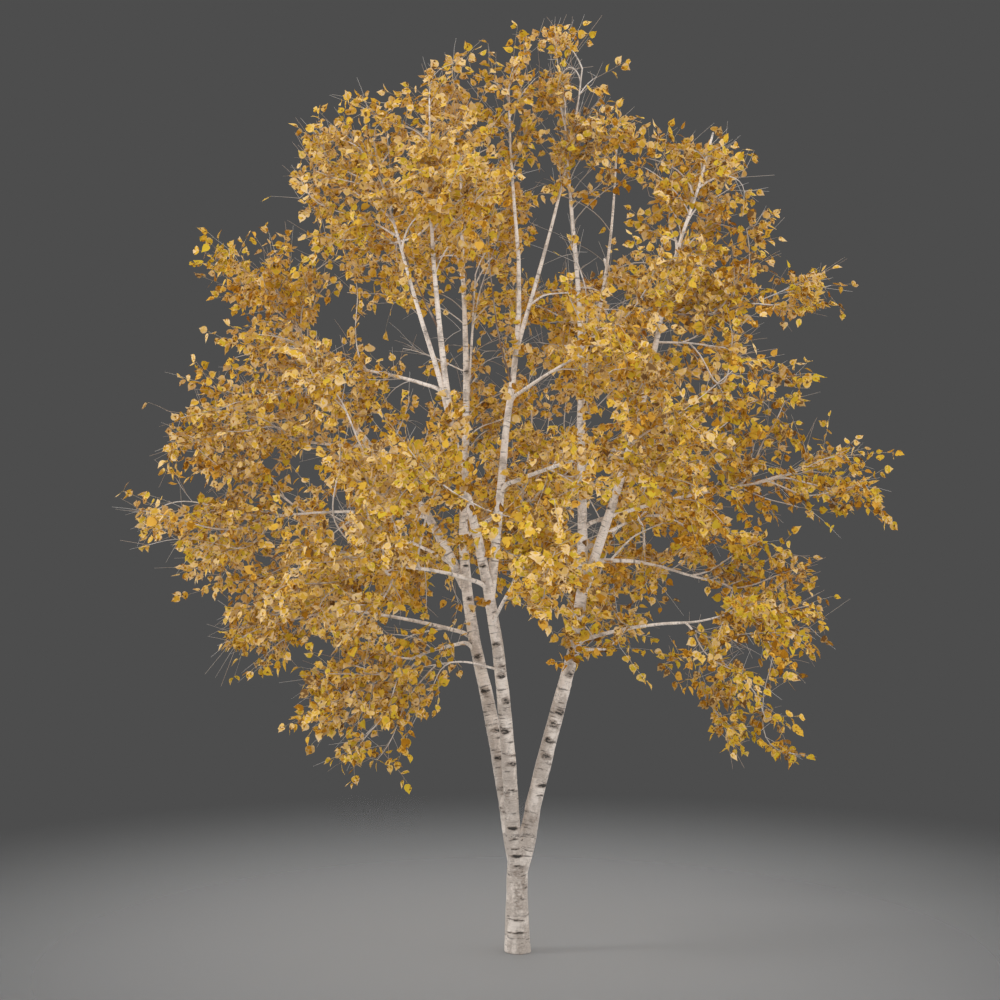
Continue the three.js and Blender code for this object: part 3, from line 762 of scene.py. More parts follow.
class Nodes:
    """Short names for the nodes that a procedural material is wired from."""

    def __init__(self, tree):
        self.tree = tree

    def new(self, kind, inputs=None, **settings):
        """A node with its settings, and with its inputs set or linked by name or number."""
        node = self.tree.nodes.new(kind)
        for key, value in settings.items():
            setattr(node, key, value)
        for key, value in (inputs or {}).items():
            if isinstance(value, bpy.types.NodeSocket):
                self.tree.links.new(value, node.inputs[key])
            else:
                node.inputs[key].default_value = value
        return node

    def attribute(self, name, output):
        """A value kept on the mesh."""
        return self.new("ShaderNodeAttribute", attribute_name=name).outputs[output]

    def noise(self, vector, stretch, detail=2.0, roughness=0.5):
        """Noise in bark coordinates, stretched by three numbers."""
        place = self.new("ShaderNodeVectorMath", {0: vector, 1: stretch}, operation="MULTIPLY")
        field = self.new(
            "ShaderNodeTexNoise",
            {"Vector": place.outputs[0], "Scale": 1.0, "Detail": detail, "Roughness": roughness},
        )
        return field.outputs["Fac"]

    def band(self, value, low, high):
        """0 below `low`, 1 above `high`, and smooth between."""
        ramp = self.new(
            "ShaderNodeMapRange", {"Value": value, "From Min": low, "From Max": high},
            interpolation_type="SMOOTHSTEP",
        )
        return ramp.outputs["Result"]

    def maths(self, operation, a, b):
        """One sum."""
        return self.new("ShaderNodeMath", {0: a, 1: b}, operation=operation).outputs[0]

    def times(self, a, b):
        """A product."""
        return self.maths("MULTIPLY", a, b)

    def mix(self, share, a, b):
        """From colour `a` to colour `b`."""
        node = self.new("ShaderNodeMix", data_type="RGBA")
        for key, value in ((0, share), (6, a), (7, b)):
            if isinstance(value, bpy.types.NodeSocket):
                self.tree.links.new(value, node.inputs[key])
            else:
                node.inputs[key].default_value = (*value, 1) if key else value
        return node.outputs[2]


def bark_material(bark):
    """White bark with soft grey patches, fine streaks, dark lenticels, broken bands and scars, and grey
    smudges round the scars, which on the trunk's front are partly painted shade.
    """
    material, shader = new_material("birch_bark", bark.white, 0.7)
    nodes = Nodes(material.node_tree)
    place = nodes.attribute("bark", "Vector")
    scar = nodes.attribute("scar", "Fac")
    flat = nodes.new("ShaderNodeVectorMath", {0: place, 1: (1, 1, 0)}, operation="MULTIPLY").outputs[0]
    radius = nodes.new("ShaderNodeVectorMath", {0: flat}, operation="LENGTH").outputs["Value"]
    old = nodes.band(radius, 0.025, 0.065)
    grain = nodes.noise(place, (55, 55, 130), 3, 0.65)
    ragged = nodes.noise(place, (26, 26, 60), 4, 0.7)

    cloud = nodes.maths("ADD", nodes.noise(place, (9, 9, 6), 4, 0.65), nodes.times(old, 0.08))
    flecks = nodes.band(ragged, 0.5, 0.64)
    patches = nodes.band(cloud, 0.47, 0.62)
    streaks = nodes.band(nodes.noise(place, (7, 7, 120), 3, 0.6), 0.5, 0.66)
    speckles = nodes.times(patches, nodes.band(grain, 0.36, 0.6))
    uneven = nodes.times(nodes.maths("SUBTRACT", ragged, 0.5), 2.6)
    edge = nodes.maths("ADD", scar, nodes.times(uneven, nodes.band(scar, 0.0, 0.3)))
    # Grey smudges where the scar mark is faint: halos round real scars, and on the trunk's front soft
    # smudges that are partly painted shade.
    smudge_and_shade = nodes.band(edge, 0.2, 0.75)
    shades = ((old, 0.2), (flecks, 0.14), (patches, 0.42), (streaks, 0.28), (speckles, 0.4), (smudge_and_shade, 0.75))
    tone = bark.white
    for layer, strength in shades:
        tone = nodes.mix(nodes.times(layer, strength), tone, bark.shade)

    dashes = nodes.band(nodes.noise(place, (10, 10, 62), 2, 0.5), 0.63, 0.7)
    rings = nodes.band(nodes.noise(place, (1.6, 1.6, 30), 1, 0.4), 0.59, 0.67)
    bands = nodes.times(rings, nodes.band(ragged, 0.43, 0.55))
    specks = nodes.band(nodes.noise(place, (36, 36, 60), 3, 0.6), 0.6, 0.68)
    marks = nodes.band(edge, 0.75, 1.1)
    for layer, strength in ((dashes, 0.7), (bands, 0.6), (specks, 0.4)):
        marks = nodes.maths("MAXIMUM", marks, nodes.times(layer, strength))
    tone = nodes.mix(marks, tone, bark.dark)
    young = nodes.maths("SUBTRACT", 1.0, nodes.band(radius, 0.002, 0.009))
    tone = nodes.mix(nodes.times(young, 0.6), tone, bark.twig)

    depth = nodes.maths("SUBTRACT", nodes.times(grain, 0.4), marks)
    bump = nodes.new("ShaderNodeBump", {"Strength": 0.5, "Distance": 0.002, "Height": depth})
    rough = nodes.maths("ADD", nodes.times(marks, 0.2), 0.62)
    links = material.node_tree.links
    links.new(tone, shader.inputs["Base Color"])
    links.new(rough, shader.inputs["Roughness"])
    links.new(bump.outputs["Normal"], shader.inputs["Normal"])
    return material


def brown_bark_material(bark):
    """Bark of a young limb: brown, with the white just breaking through."""
    material, shader = new_material("birch_bark_brown", bark.brown, 0.6)
    nodes = Nodes(material.node_tree)
    place = nodes.attribute("bark", "Vector")
    breaking = nodes.band(nodes.noise(place, (30, 30, 8), 4, 0.7), 0.48, 0.62)
    rings = nodes.band(nodes.noise(place, (5, 5, 70), 2, 0.5), 0.6, 0.68)
    tone = nodes.mix(nodes.times(breaking, 0.5), bark.brown, bark.twig)
    tone = nodes.mix(nodes.times(rings, 0.7), tone, bark.dark)
    material.node_tree.links.new(tone, shader.inputs["Base Color"])
    return material


def shared_material(name, make, *settings):
    """The material of this name, made the first time that it is asked for."""
    return bpy.data.materials.get(name) or make(*settings)


def bark_of(context):
    """The bark that all the wood shares."""
    return shared_material("birch_bark", bark_material, context.scene.birch_bark)


class BIRCH_OT_trunk(Operator):
    """Skins the trunk and the feet of its stems as one piece of wood, with the relief of the bark"""

    bl_idname = "birch.trunk"
    bl_label = "Trunk and Fork"

    def execute(self, context):
        bark = context.scene.birch_bark
        rng = draws(context, "trunk")
        curves = [curve_through(self.trunk_line(), FINE_STEP)]
        for stem in STEMS:
            line = curve_through(self.foot_of(stem), FINE_STEP)
            curves.append(line[line[:, 2] < bark.fork_top + FORK_OVERLAP])
        rough = Wood()
        for curve in curves:
            rough.tube(curve, TRUNK_SIDES)
        blank = rough.build("trunk_blank")
        self.close_feet(blank)
        corners, faces = self.remeshed(blank, bark.fork_voxel)
        corners, faces = self.trimmed(corners, faces, bark.fork_top)
        corners = self.relaxed(corners, faces, EVENING)
        limb, along, normals = self.bark_places(corners, curves)
        place = np.column_stack([corners[:, :2], along])
        mark = self.knot_marks(corners, limb, curves, rng)
        height = bark.relief * bark_relief(place) + SCAR_SWELL * bark.relief * mark
        settle = np.clip(corners[:, 2] / SETTLING[0], 0, 1)
        settle *= np.clip((bark.fork_top - corners[:, 2]) / SETTLING[1], 0, 1)
        corners = corners + normals * (height * settle)[:, None]
        corners[:, 2] = np.maximum(corners[:, 2], 0)
        layers = bark_layers(place, mark)
        piece = build_mesh("trunk_bark", corners, [faces], [bark_of(context)], attributes=layers)
        finish_piece(piece, ["trunk"])
        return {"FINISHED"}

    @staticmethod
    def trunk_line():
        """The trunk's line from the ground to a little over the fork."""
        line = TRUNK.line.copy()
        foot = line[0].copy()
        foot[2] = 0.0
        foot[3] = line[0, 3] + 0.5 * (line[0, 3] - line[1, 3])
        start, over, thinning = NECK
        line[:, 3] *= 1 - thinning * np.clip((line[:, 2] - start) / over, 0, 1)
        crest = line[-1] + (0, 0, 0.1, -0.4 * line[-1, 3])
        return np.vstack([foot, line, crest])

    @staticmethod
    def foot_of(stem):
        """A stem's line, run on down into the trunk."""
        line = stem.line
        down = unit(line[0, :3] - line[2, :3])
        deep = [
            np.append((line[0, :3] + down * depth) * (inward, inward, 1), line[0, 3] * slim)
            for depth, inward, slim in STEM_FEET
        ]
        return np.vstack([*deep, line])

    @staticmethod
    def close_feet(blank):
        """Closes the open foot of each tube, as a solid is needed for skinning."""
        model = bmesh.new()
        model.from_mesh(blank.data)
        bmesh.ops.holes_fill(model, edges=[edge for edge in model.edges if edge.is_boundary])
        model.to_mesh(blank.data)
        model.free()

    @staticmethod
    def remeshed(blank, voxel):
        """One even skin over the overlapping tubes."""
        modifier = blank.modifiers.new("skin", "REMESH")
        modifier.mode = "VOXEL"
        modifier.voxel_size = voxel
        depsgraph = bpy.context.evaluated_depsgraph_get()
        mesh = bpy.data.meshes.new_from_object(blank.evaluated_get(depsgraph))
        bpy.data.objects.remove(blank)
        corners = np.empty(3 * len(mesh.vertices))
        mesh.vertices.foreach_get("co", corners)
        faces = np.array([face.vertices[:] for face in mesh.polygons])
        bpy.data.meshes.remove(mesh)
        return corners.reshape(-1, 3), faces

    @staticmethod
    def trimmed(corners, faces, top):
        """Drops the faces above `top`, where the stems' own bark takes over."""
        faces = faces[corners[faces][:, :, 2].max(1) < top]
        used = np.unique(faces)
        renumber = np.zeros(len(corners), int)
        renumber[used] = np.arange(len(used))
        return corners[used], renumber[faces]

    @staticmethod
    def relaxed(corners, faces, passes):
        """Evens the skin out, so that wood runs smoothly from the trunk into its stems."""
        a = faces.ravel()
        b = np.roll(faces, -1, axis=1).ravel()
        ground = corners[:, 2] < FIXED_ENDS[0]
        top = corners[:, 2] > corners[:, 2].max() - FIXED_ENDS[1]
        for _ in range(passes):
            total = np.zeros_like(corners)
            count = np.zeros(len(corners))
            np.add.at(total, a, corners[b])
            np.add.at(total, b, corners[a])
            np.add.at(count, a, 1)
            np.add.at(count, b, 1)
            mean = total / count[:, None]
            moved = corners + 0.5 * (mean - corners)
            moved[ground] = corners[ground]
            moved[top] = corners[top]
            corners = moved
        return corners

    @staticmethod
    def bark_places(corners, curves):
        """For each corner, the number of the curve it is on, how far along it is and the way out."""
        best = np.full(len(corners), np.inf)
        limb = np.zeros(len(corners), int)
        along = np.zeros(len(corners))
        outward = np.zeros_like(corners)
        for index, curve in enumerate(curves):
            steps = distance_along(curve[:, :3]) + curve[0, 2]
            at = np.linalg.norm(corners[:, None] - curve[None, :, :3], axis=2).argmin(1)
            tangents = unit(np.gradient(curve[:, :3], axis=0))[at]
            offset = corners - curve[at, :3]
            slide = (offset * tangents).sum(1)
            side = offset - tangents * slide[:, None]
            surface = np.linalg.norm(side, axis=1) - curve[at, 3]
            nearer = surface < best
            best[nearer] = surface[nearer]
            limb[nearer] = index
            along[nearer] = (steps[at] + slide)[nearer]
            outward[nearer] = unit(side)[nearer]
        return limb, along, outward

    @staticmethod
    def knot_marks(corners, limb, curves, rng):
        """Dark scars on the trunk and the feet of the stems, and soft grey smudges on their front that are
        partly painted shade.
        """
        mark = np.zeros(len(corners))
        for index, curve in enumerate(curves):
            count, low, high = TRUNK_SCARS[min(index, 1)]
            for _ in range(count):
                where = rng.uniform(low, high)
                middle = curve[int(np.abs(curve[:, 2] - where).argmin())]
                way = unit(np.append(rng.normal(size=2), 0))
                width = middle[3] * rng.uniform(0.4, 1.0)
                height = middle[3] * rng.uniform(0.1, 0.25)
                offset = unit((corners - middle[:3]) * (1, 1, 0))
                sideways = np.arccos(np.clip(offset @ way, -1, 1)) * middle[3] / width
                dark = eye(sideways, (corners[:, 2] - where) / height)
                mark = np.where(limb == index, np.maximum(mark, dark), mark)
        # Only the front gets these. Besides eye scars, they hold soft smudges down the middle of the trunk,
        # which are partly painted shade where less light falls.
        front = corners[:, 1] < np.array([curve[:, 1].mean() for curve in curves])[limb]
        for x, z, width, height, depth in FRONT_SCARS_AND_SHADE:
            dark = depth * eye((corners[:, 0] - x) / width, (corners[:, 2] - z) / height, 1.2)
            mark = np.where(front, np.maximum(mark, dark), mark)
        return mark


def skinned_limbs(context, limbs, name, rng):
    """The bark of several limbs as one piece that stands for all their nodes."""
    bark = context.scene.birch_bark
    wood = Wood()
    for limb in limbs:
        sides, ring = SIDES_AND_RINGS[limb.kind]
        curve = curve_through(limb.line, ring * bark.ring_spacing)
        offset = 10 * rng.random()  # so that no two limbs have the same pattern
        if limb.kind == "stem":
            curve = curve[curve[:, 2] > bark.fork_top - STEM_OVERLAP]
            offset = curve[0, 2]  # the pattern goes on from the fork's
        knots = knots_on(limb, curve, rng)
        relief = bark.relief * min(1, limb.line[1, 3] / FULL_RELIEF)
        wood.tube(curve, sides, offset, relief, knots, int(limb.name in BROWN_LIMBS))
    materials = [bark_of(context)]
    if any(limb.name in BROWN_LIMBS for limb in limbs):
        materials.append(shared_material("birch_bark_brown", brown_bark_material, bark))
    piece = wood.build(name, *materials)
    return finish_piece(piece, [limb.name for limb in limbs if limb.kind != "side"])


class BIRCH_OT_stems(Operator):
    """Gives each of the three stems its bark, from the fork to the tip"""

    bl_idname = "birch.stems"
    bl_label = "Stems"

    def execute(self, context):
        for index, stem in enumerate(STEMS):
            skinned_limbs(context, [stem], f"{stem.name}_bark", draws(context, "stems", index))
        return {"FINISHED"}


class BIRCH_OT_leaders(Operator):
    """Gives the leaders their bark"""

    bl_idname = "birch.leaders"
    bl_label = "Leaders"

    def execute(self, context):
        leaders = [limb for limb in LIMBS if limb.kind == "leader"]
        skinned_limbs(context, leaders, "leaders_bark", draws(context, "leaders"))
        return {"FINISHED"}


class BIRCH_OT_boughs(Operator):
    """Gives the boughs their bark"""

    bl_idname = "birch.boughs"
    bl_label = "Boughs"

    def execute(self, context):
        boughs = [limb for limb in LIMBS if limb.kind == "bough"]
        skinned_limbs(context, boughs, "boughs_bark", draws(context, "boughs"))
        return {"FINISHED"}


class BIRCH_OT_side_limbs(Operator):
    """Sets the slender side limbs on the limbs that bear them"""

    bl_idname = "birch.side_limbs"
    bl_label = "Side Limbs"

    def execute(self, context):
        slender = [limb for limb in LIMBS if limb.kind == "side"]
        skinned_limbs(context, slender, "side_limbs_bark", draws(context, "side_limbs"))
        return {"FINISHED"}


# ------------------------------------------------------------------ growth


def opening_depth(point):
    """How far a point is from the middle of an opening, seen from the camera: under 1 is inside it."""
    stage = bpy.context.scene.birch_stage
    nearer = stage.camera_distance / (stage.camera_distance + point[1])
    x = stage.camera_side + (point[0] - stage.camera_side) * nearer
    z = stage.camera_height + (point[2] - stage.camera_height) * nearer
    return min(math.hypot((x - a) / wide, (z - b) / high) for a, b, wide, high in OPENINGS)


class Crown:
    """Branches that have grown from the limbs to the sprays, as joints that each know their parent."""

    def __init__(self, growth):
        self.growth = growth
        self.rng = np.random.default_rng(growth.seed)
        self.place_sprays()
        self.plant_limbs()
        self.colonise()
        self.weigh()
        self.smooth()

    def place_sprays(self):
        """Spreads points through the masses, none too near another."""
        growth, rng = self.growth, self.rng
        points, owners = [], []
        self.masses = masses()
        self.storey = {name: storey_of(corners[:, 2].mean()) for name, (corners, _) in self.masses.items()}
        for name, (corners, faces) in self.masses.items():
            middle = corners.mean(0)
            fans = corners[faces] - middle
            volumes = np.abs(np.einsum("ij,ij->i", fans[:, 0], np.cross(fans[:, 1], fans[:, 2]))) / 6
            thickness = THICKNESS.get(name.removeprefix("foliage_"), 1.0)
            wanted = round(growth.sprays * volumes.sum() * thickness)
            placed = 0
            for _ in range(TRIES * wanted):
                if placed == wanted:
                    break
                fan = fans[rng.choice(len(fans), p=volumes / volumes.sum())]
                depth = growth.fill * rng.random() ** (1 / 3)
                u, v = np.sort(rng.random(2))
                point = middle + depth * (fan[0] * u + fan[1] * (v - u) + fan[2] * (1 - v))
                if opening_depth(point) < 1.0:
                    continue
                if points and np.square(np.array(points) - point).sum(1).min() < growth.spacing**2:
                    continue
                points.append(point)
                owners.append(name)
                placed += 1
        self.spread_beside_limbs(points, owners)
        self.sprays = np.array(points)
        self.owners = np.array(owners)

    def spread_beside_limbs(self, points, owners):
        """Adds sprays close to the limbs and in tufts, so that the masses run on into each other."""
        growth, rng = self.growth, self.rng
        names = list(self.masses)
        middles = np.array([corners.mean(0) for corners, _ in self.masses.values()])

        def add(point):
            """Keeps a spray, in the mass whose middle is nearest."""
            points.append(point)
            owners.append(names[int(np.linalg.norm(middles - point, axis=1).argmin())])

        for limb in LIMBS:
            curve = curve_through(limb.line, BESIDE_STEP)
            bare = int(BARE_FOOT * len(curve)) if limb.kind in ("bough", "side") else 0
            curve = curve[bare:]
            curve = curve[curve[:, 2] > (growth.lowest if limb.kind == "stem" else 0)]
            for _ in range(round(BESIDE_STEP * growth.beside * len(curve))):
                foot = curve[rng.integers(len(curve)), :3]
                point = foot + rng.uniform(*BESIDE) * unit(rng.normal(size=3))
                if opening_depth(point) >= CLEAR:
                    add(point)
        for *middle, radius in TUFTS:
            for _ in range(max(4, round(growth.sprays * 6 * radius**3))):
                add(np.array(middle) + radius * rng.random() ** (1 / 3) * unit(rng.normal(size=3)))

    def plant_limbs(self):
        """Starts with a joint every step along the limbs of the frame."""
        places, ways, parents, radii = [], [], [], []
        for limb in LIMBS:
            curve = curve_through(limb.line, self.growth.step)
            first = len(places)
            places.extend(curve[:, :3])
            ways.extend(unit(np.gradient(curve[:, :3], axis=0)))
            radii.extend(curve[:, 3])
            parents.extend([-1, *range(first, first + len(curve) - 1)])
        self.place = np.array(places)
        self.way = np.array(ways)
        self.parent = np.array(parents)
        self.limb_radius = np.array(radii)
        self.planted = len(places)

    def colonise(self, most_rounds=600):
        """Grows joint by joint: each spray draws the nearest joint towards itself until it is reached."""
        self.anchor = np.zeros(len(self.sprays), int)
        self.gap = np.full(len(self.sprays), np.inf)
        self.cost = np.full(len(self.sprays), np.inf)
        self.children = np.zeros(self.planted, int)
        waiting = np.ones(len(self.sprays), bool)
        fresh = np.arange(self.planted)
        reach = self.growth.reach
        for _ in range(most_rounds):
            self.look_at(fresh, waiting)
            waiting &= self.gap > self.growth.arrive
            if not waiting.any():
                break
            drawing = waiting & (self.gap < reach)
            while not drawing.any():
                reach *= WIDENING
                drawing = waiting & (self.gap < reach)
            fresh = self.grow_towards(drawing)

    def look_at(self, fresh, waiting):
        """Lets each waiting spray choose among the fresh joints, by distance and by how they face."""
        toward = self.sprays[:, None] - self.place[None, fresh]
        distances = np.linalg.norm(toward, axis=2)
        facing = np.einsum("ijk,jk->ij", toward, self.way[fresh]) / np.maximum(distances, 1e-9)
        costs = distances * (1 + self.growth.ahead * (1 - facing))
        chosen = np.arange(len(self.sprays)), costs.argmin(1)
        better = waiting & (costs[chosen] < self.cost)
        self.cost[better] = costs[chosen][better]
        self.gap[better] = distances[chosen][better]
        self.anchor[better] = fresh[chosen[1][better]]

    def grow_towards(self, drawing):
        """Adds a joint to each one that sprays are drawing, and returns the new joints' numbers."""
        growth = self.growth
        joints = np.unique(self.anchor[drawing])
        toward = unit(self.sprays - self.place[self.anchor])
        pull = np.zeros((len(self.place), 3))
        np.add.at(pull, self.anchor[drawing], toward[drawing])
        way = unit(pull[joints]) + growth.inertia * self.way[joints] + growth.lift * UP
        for i in np.flatnonzero(self.children[joints] > 1):
            mine = np.flatnonzero(drawing & (self.anchor == joints[i]))
            way[i] = toward[mine[self.gap[mine].argmin()]]
        way = unit(way + WANDER * self.rng.normal(size=way.shape))
        self.children[joints] += 1
        self.place = np.vstack([self.place, self.place[joints] + growth.step * way])
        self.way = np.vstack([self.way, way])
        self.parent = np.concatenate([self.parent, joints])
        self.children = np.concatenate([self.children, np.zeros(len(joints), int)])
        return np.arange(len(self.place) - len(joints), len(self.place))

    def weigh(self):
        """Counts the sprays that each joint carries, and sizes the branches by them."""
        load = np.zeros(len(self.place))
        np.add.at(load, self.anchor, 1)
        heaviest = np.full(len(self.place), -1)
        for joint in range(len(self.place) - 1, self.planted - 1, -1):
            parent = self.parent[joint]
            load[parent] += load[joint]
        for joint in range(self.planted, len(self.place)):
            parent = self.parent[joint]
            if load[joint] and (heaviest[parent] < 0 or load[joint] > load[heaviest[parent]]):
                heaviest[parent] = joint
        self.load = load
        self.heaviest = heaviest
        self.radius = self.growth.tip_radius * np.maximum(load, 1) ** (1 / self.growth.pipe)
        self.radius[: self.planted] = self.limb_radius

    def smooth(self, passes=3):
        """Takes the kinks out of the branches."""
        grown = np.arange(self.planted, len(self.place))
        middle = grown[self.heaviest[grown] >= 0]
        for _ in range(passes):
            mean = (self.place[self.parent[middle]] + self.place[self.heaviest[middle]]) / 2
            self.place[middle] += 0.5 * (mean - self.place[middle])

    def chains(self):
        """Each branch as the list of its joints, from the joint that it grows from to its tip."""
        for joint in range(self.planted, len(self.place)):
            parent = self.parent[joint]
            if not self.load[joint]:
                continue
            if parent >= self.planted and self.heaviest[parent] == joint:
                continue
            chain = [parent, joint]
            while self.heaviest[chain[-1]] >= 0:
                chain.append(self.heaviest[chain[-1]])
            yield chain


GROWN = {}


def crown_of(context):
    """The crown, grown the first time that it is asked for."""
    if "crown" not in GROWN:
        GROWN["crown"] = Crown(context.scene.birch_growth)
    return GROWN["crown"]


def branch_line(crown, chain):
    """The points and radii of one branch."""
    points = crown.place[chain]
    radii = crown.radius[chain].copy()
    foot = min(radii[0], FOOT_SPREAD * radii[1])
    if chain[0] < crown.planted and radii[0] < RUNS_ON * radii[1]:
        foot = radii[0]
    radii[0] = foot
    for i in range(1, len(radii)):
        radii[i] = max(radii[i], foot * (1 - i / FOOT_JOINTS))
    radii = np.minimum.accumulate(radii)
    return np.column_stack([points, radii])


class BIRCH_OT_branches(Operator):
    """Grows the branches from the limbs to the sprays"""

    bl_idname = "birch.branches"
    bl_label = "Branches"

    def execute(self, context):
        crown, shoots = crown_of(context), shoots_of(context)
        bark = context.scene.birch_bark
        rng = draws(context, "branches")
        tints = {"twig_grey": bark.twig, "twig_brown": bark.young, "twig_red": bark.newest}
        twigs = [shared_material(name, plain_material, name, tint, 0.65) for name, tint in tints.items()]
        woods = {(kind, storey): Wood() for kind in ("branches", "twigs") for storey in STOREYS}
        for chain in crown.chains():
            line = branch_line(crown, chain)
            kind = "branches" if line[1, 3] > WHITE_FROM else "twigs"
            sides = 3 if line[1, 3] < THREE_SIDED else 4 if kind == "twigs" else 6
            tint = 0 if kind == "branches" else rng.choice(2)
            woods[kind, storey_of(line[0, 2])].tube(line, sides, 10 * rng.random(), tint=tint)
        for shoot, storey in shoots.wood:
            woods["twigs", storey].tube(shoot, 3, tint=rng.choice(3))
        for (kind, storey), wood in woods.items():
            if not wood.count:
                raise RuntimeError(f"the {storey} storey has no {kind}")
            materials = [bark_of(context)] if kind == "branches" else twigs
            finish_piece(wood.build(f"{kind}_{storey}", *materials))
        return {"FINISHED"}


# ------------------------------------------------------------------ shoots and leaves


class Shoots:
    """The leafy shoots of a crown: their wood, and where each leaf stands on them."""

    def __init__(self, crown, settings, droop, rng):
        self.crown, self.settings, self.droop, self.rng = crown, settings, droop, rng
        low, high = (np.array(corner) for corner in CAD_BOX)
        low, high = low - settings.overhang, high + settings.overhang
        low[2] = LOWEST_SHOOT
        self.edges = ((low, -1), (high, 1))
        self.wood, self.place, self.axis, self.spray = [], [], [], []
        for spray in range(len(crown.sprays)):
            self.grow_spray(spray)
        self.grow_short_shoots()
        self.place, self.axis, self.spray = (
            np.array(values) for values in (self.place, self.axis, self.spray)
        )

    def outward(self, spray):
        """The way out of the crown at a spray."""
        target = self.crown.sprays[spray]
        return unit(target - (0.0, 0.0, target[2] - AWAY_FROM))

    def rise(self, spray):
        """How much the shoots of a spray climb: they hang low in the crown, and climb at its top."""
        return (self.crown.sprays[spray, 2] - CROWN_FOOT) / CROWN_HEIGHT - HANGING

    def foot(self, joint):
        """A joint of the same branch, up to three joints nearer to the limb."""
        for _ in range(self.rng.integers(4)):
            if self.crown.parent[joint] >= self.crown.planted:
                joint = self.crown.parent[joint]
        return joint

    def inside(self, start, way, size, least):
        """The length of a shoot that stays inside the box of the frame, with its overhang."""
        for edge, sign in self.edges:
            over = ((start + way * size - edge) * sign).max()
            if over > 0:
                size = max(least, size - over)
        return size

    def add_wood(self, spray, points, thickness):
        """Keeps the wood of one shoot, with the storey that it belongs to."""
        line = np.column_stack([points, self.settings.radius * thickness])
        self.wood.append((line, self.crown.storey[self.crown.owners[spray]]))

    def add_leaf(self, place, axis, spray):
        """Keeps the place of one leaf, unless it is in an opening."""
        if opening_depth(place) < self.rng.uniform(*OPENING_EDGE):
            return
        self.place.append(place)
        self.axis.append(axis)
        self.spray.append(spray)

    def grow_spray(self, spray):
        """Grows the leafy shoots of one spray, and those without a leaf."""
        crown, rng, joint = self.crown, self.rng, self.crown.anchor[spray]
        for k in range(1 + rng.poisson(self.settings.per_spray - 1)):
            start = crown.place[self.foot(joint) if k else joint]
            away = 0.6 * rng.normal(size=3) if k else crown.sprays[spray] - start
            self.grow_leafy(spray, start, away)
        for _ in range(rng.poisson(self.settings.bare)):
            self.grow_bare(spray, crown.place[self.foot(joint)], crown.way[joint])

    def grow_leafy(self, spray, start, away):
        """Grows a shoot that bears its leaves to one side and the other by turns."""
        settings, rng, rise = self.settings, self.rng, self.rise(spray)
        way = unit(0.7 * unit(away) + 0.75 * self.outward(spray) + 0.5 * rng.normal(size=3) + rise * UP)
        size = self.inside(start, way, rng.uniform(settings.shortest, settings.longest), LEAST_LEAFY)
        points = [start]
        for _ in range(3):
            way = unit(way + (0.08 * rise - 0.04) * UP + 0.06 * rng.normal(size=3))
            points.append(points[-1] + way * size / 3)
        points = np.array(points)
        self.add_wood(spray, points, np.linspace(1, TIP_TAPER, len(points)))
        leafy = BEFORE_TIP if rng.random() < settings.bare_tips else 1.0
        along = distance_along(points)
        side = across(rng.normal(size=3), way)
        where = 0.2 * size
        turn = rng.choice((-1, 1))
        while where < leafy * size:
            place = np.array([np.interp(where, along, points[:, c]) for c in range(3)])
            tilt = 0.75 * way + turn * side + 0.35 * rng.normal(size=3) - self.droop * UP
            self.add_leaf(place, unit(tilt), spray)
            turn = -turn
            side = across(side + 0.35 * rng.normal(size=3), way)
            where += settings.leaf_spacing * rng.uniform(0.7, 1.3)
        if leafy == 1.0:
            tilt = way + 0.3 * rng.normal(size=3) - 0.5 * self.droop * UP
            self.add_leaf(points[-1], unit(tilt), spray)

    def grow_bare(self, spray, start, way):
        """Grows a straight shoot without a leaf."""
        rng = self.rng
        lean = 0.5 * way + 0.5 * self.outward(spray)
        way = unit(lean + 0.35 * rng.normal(size=3) + 0.5 * self.rise(spray) * UP)
        size = self.inside(start, way, rng.uniform(0.5, 1.05) * self.settings.longest, LEAST_BARE)
        points = start + way * size * np.linspace(0, 1, 3)[:, None]
        self.add_wood(spray, points, np.array((0.9, 0.8, 0.6)))

    def grow_short_shoots(self):
        """Sets leaves on the thin joints of the branches, all leaning as the last spray does."""
        crown, rng = self.crown, self.rng
        lean = 0.5 * self.outward(-1)
        first = {}
        for spray, joint in enumerate(crown.anchor):
            first.setdefault(int(joint), spray)
        carried = {}
        for joint in range(len(crown.place) - 1, crown.planted - 1, -1):
            if not crown.load[joint]:
                continue
            spray = first.get(joint, carried.get(joint))
            carried.setdefault(int(crown.parent[joint]), spray)
            if crown.load[joint] > SHORT_SHOOT_LOAD or rng.random() > SHORT_SHOOTS:
                continue
            for _ in range(SHORT_SHOOT_LEAVES):
                tilt = rng.normal(size=3) + lean - self.droop * UP
                self.add_leaf(crown.place[joint], unit(tilt), spray)


def shoots_of(context):
    """The leafy shoots, grown the first time that they are asked for."""
    if "shoots" not in GROWN:
        scene = context.scene
        GROWN["shoots"] = Shoots(
            crown_of(context), scene.birch_shoots, scene.birch_leaves.droop, draws(context, "shoots")
        )
    return GROWN["shoots"]


# One half of a blade: (along, across) as shares of its length and of half its breadth
MIDRIB = ((0.0, 0.0), (0.3, 0.0), (0.62, 0.0), (1.0, 0.0))
HEART = ((0.38, 0.52),)
MARGIN = ((-0.02, 0.4), (0.12, 0.86), (0.36, 1.0), (0.6, 0.72), (0.8, 0.27))
# Corners of the half by number: 0 to 3 midrib, 4 heart, 5 to 9 margin
HALF_FACES = (
    (0, 4, 1), (1, 4, 2), (0, 5, 6), (0, 6, 4), (4, 6, 7), (4, 7, 8), (2, 4, 8), (2, 8, 9), (2, 9, 3),
)
DEEP_CHANCES = (0.85, 0.85, 0.25, 0.5, 0.4, 0.4, 0.55, 0.2, 0.15)  # that a face takes the deeper tint


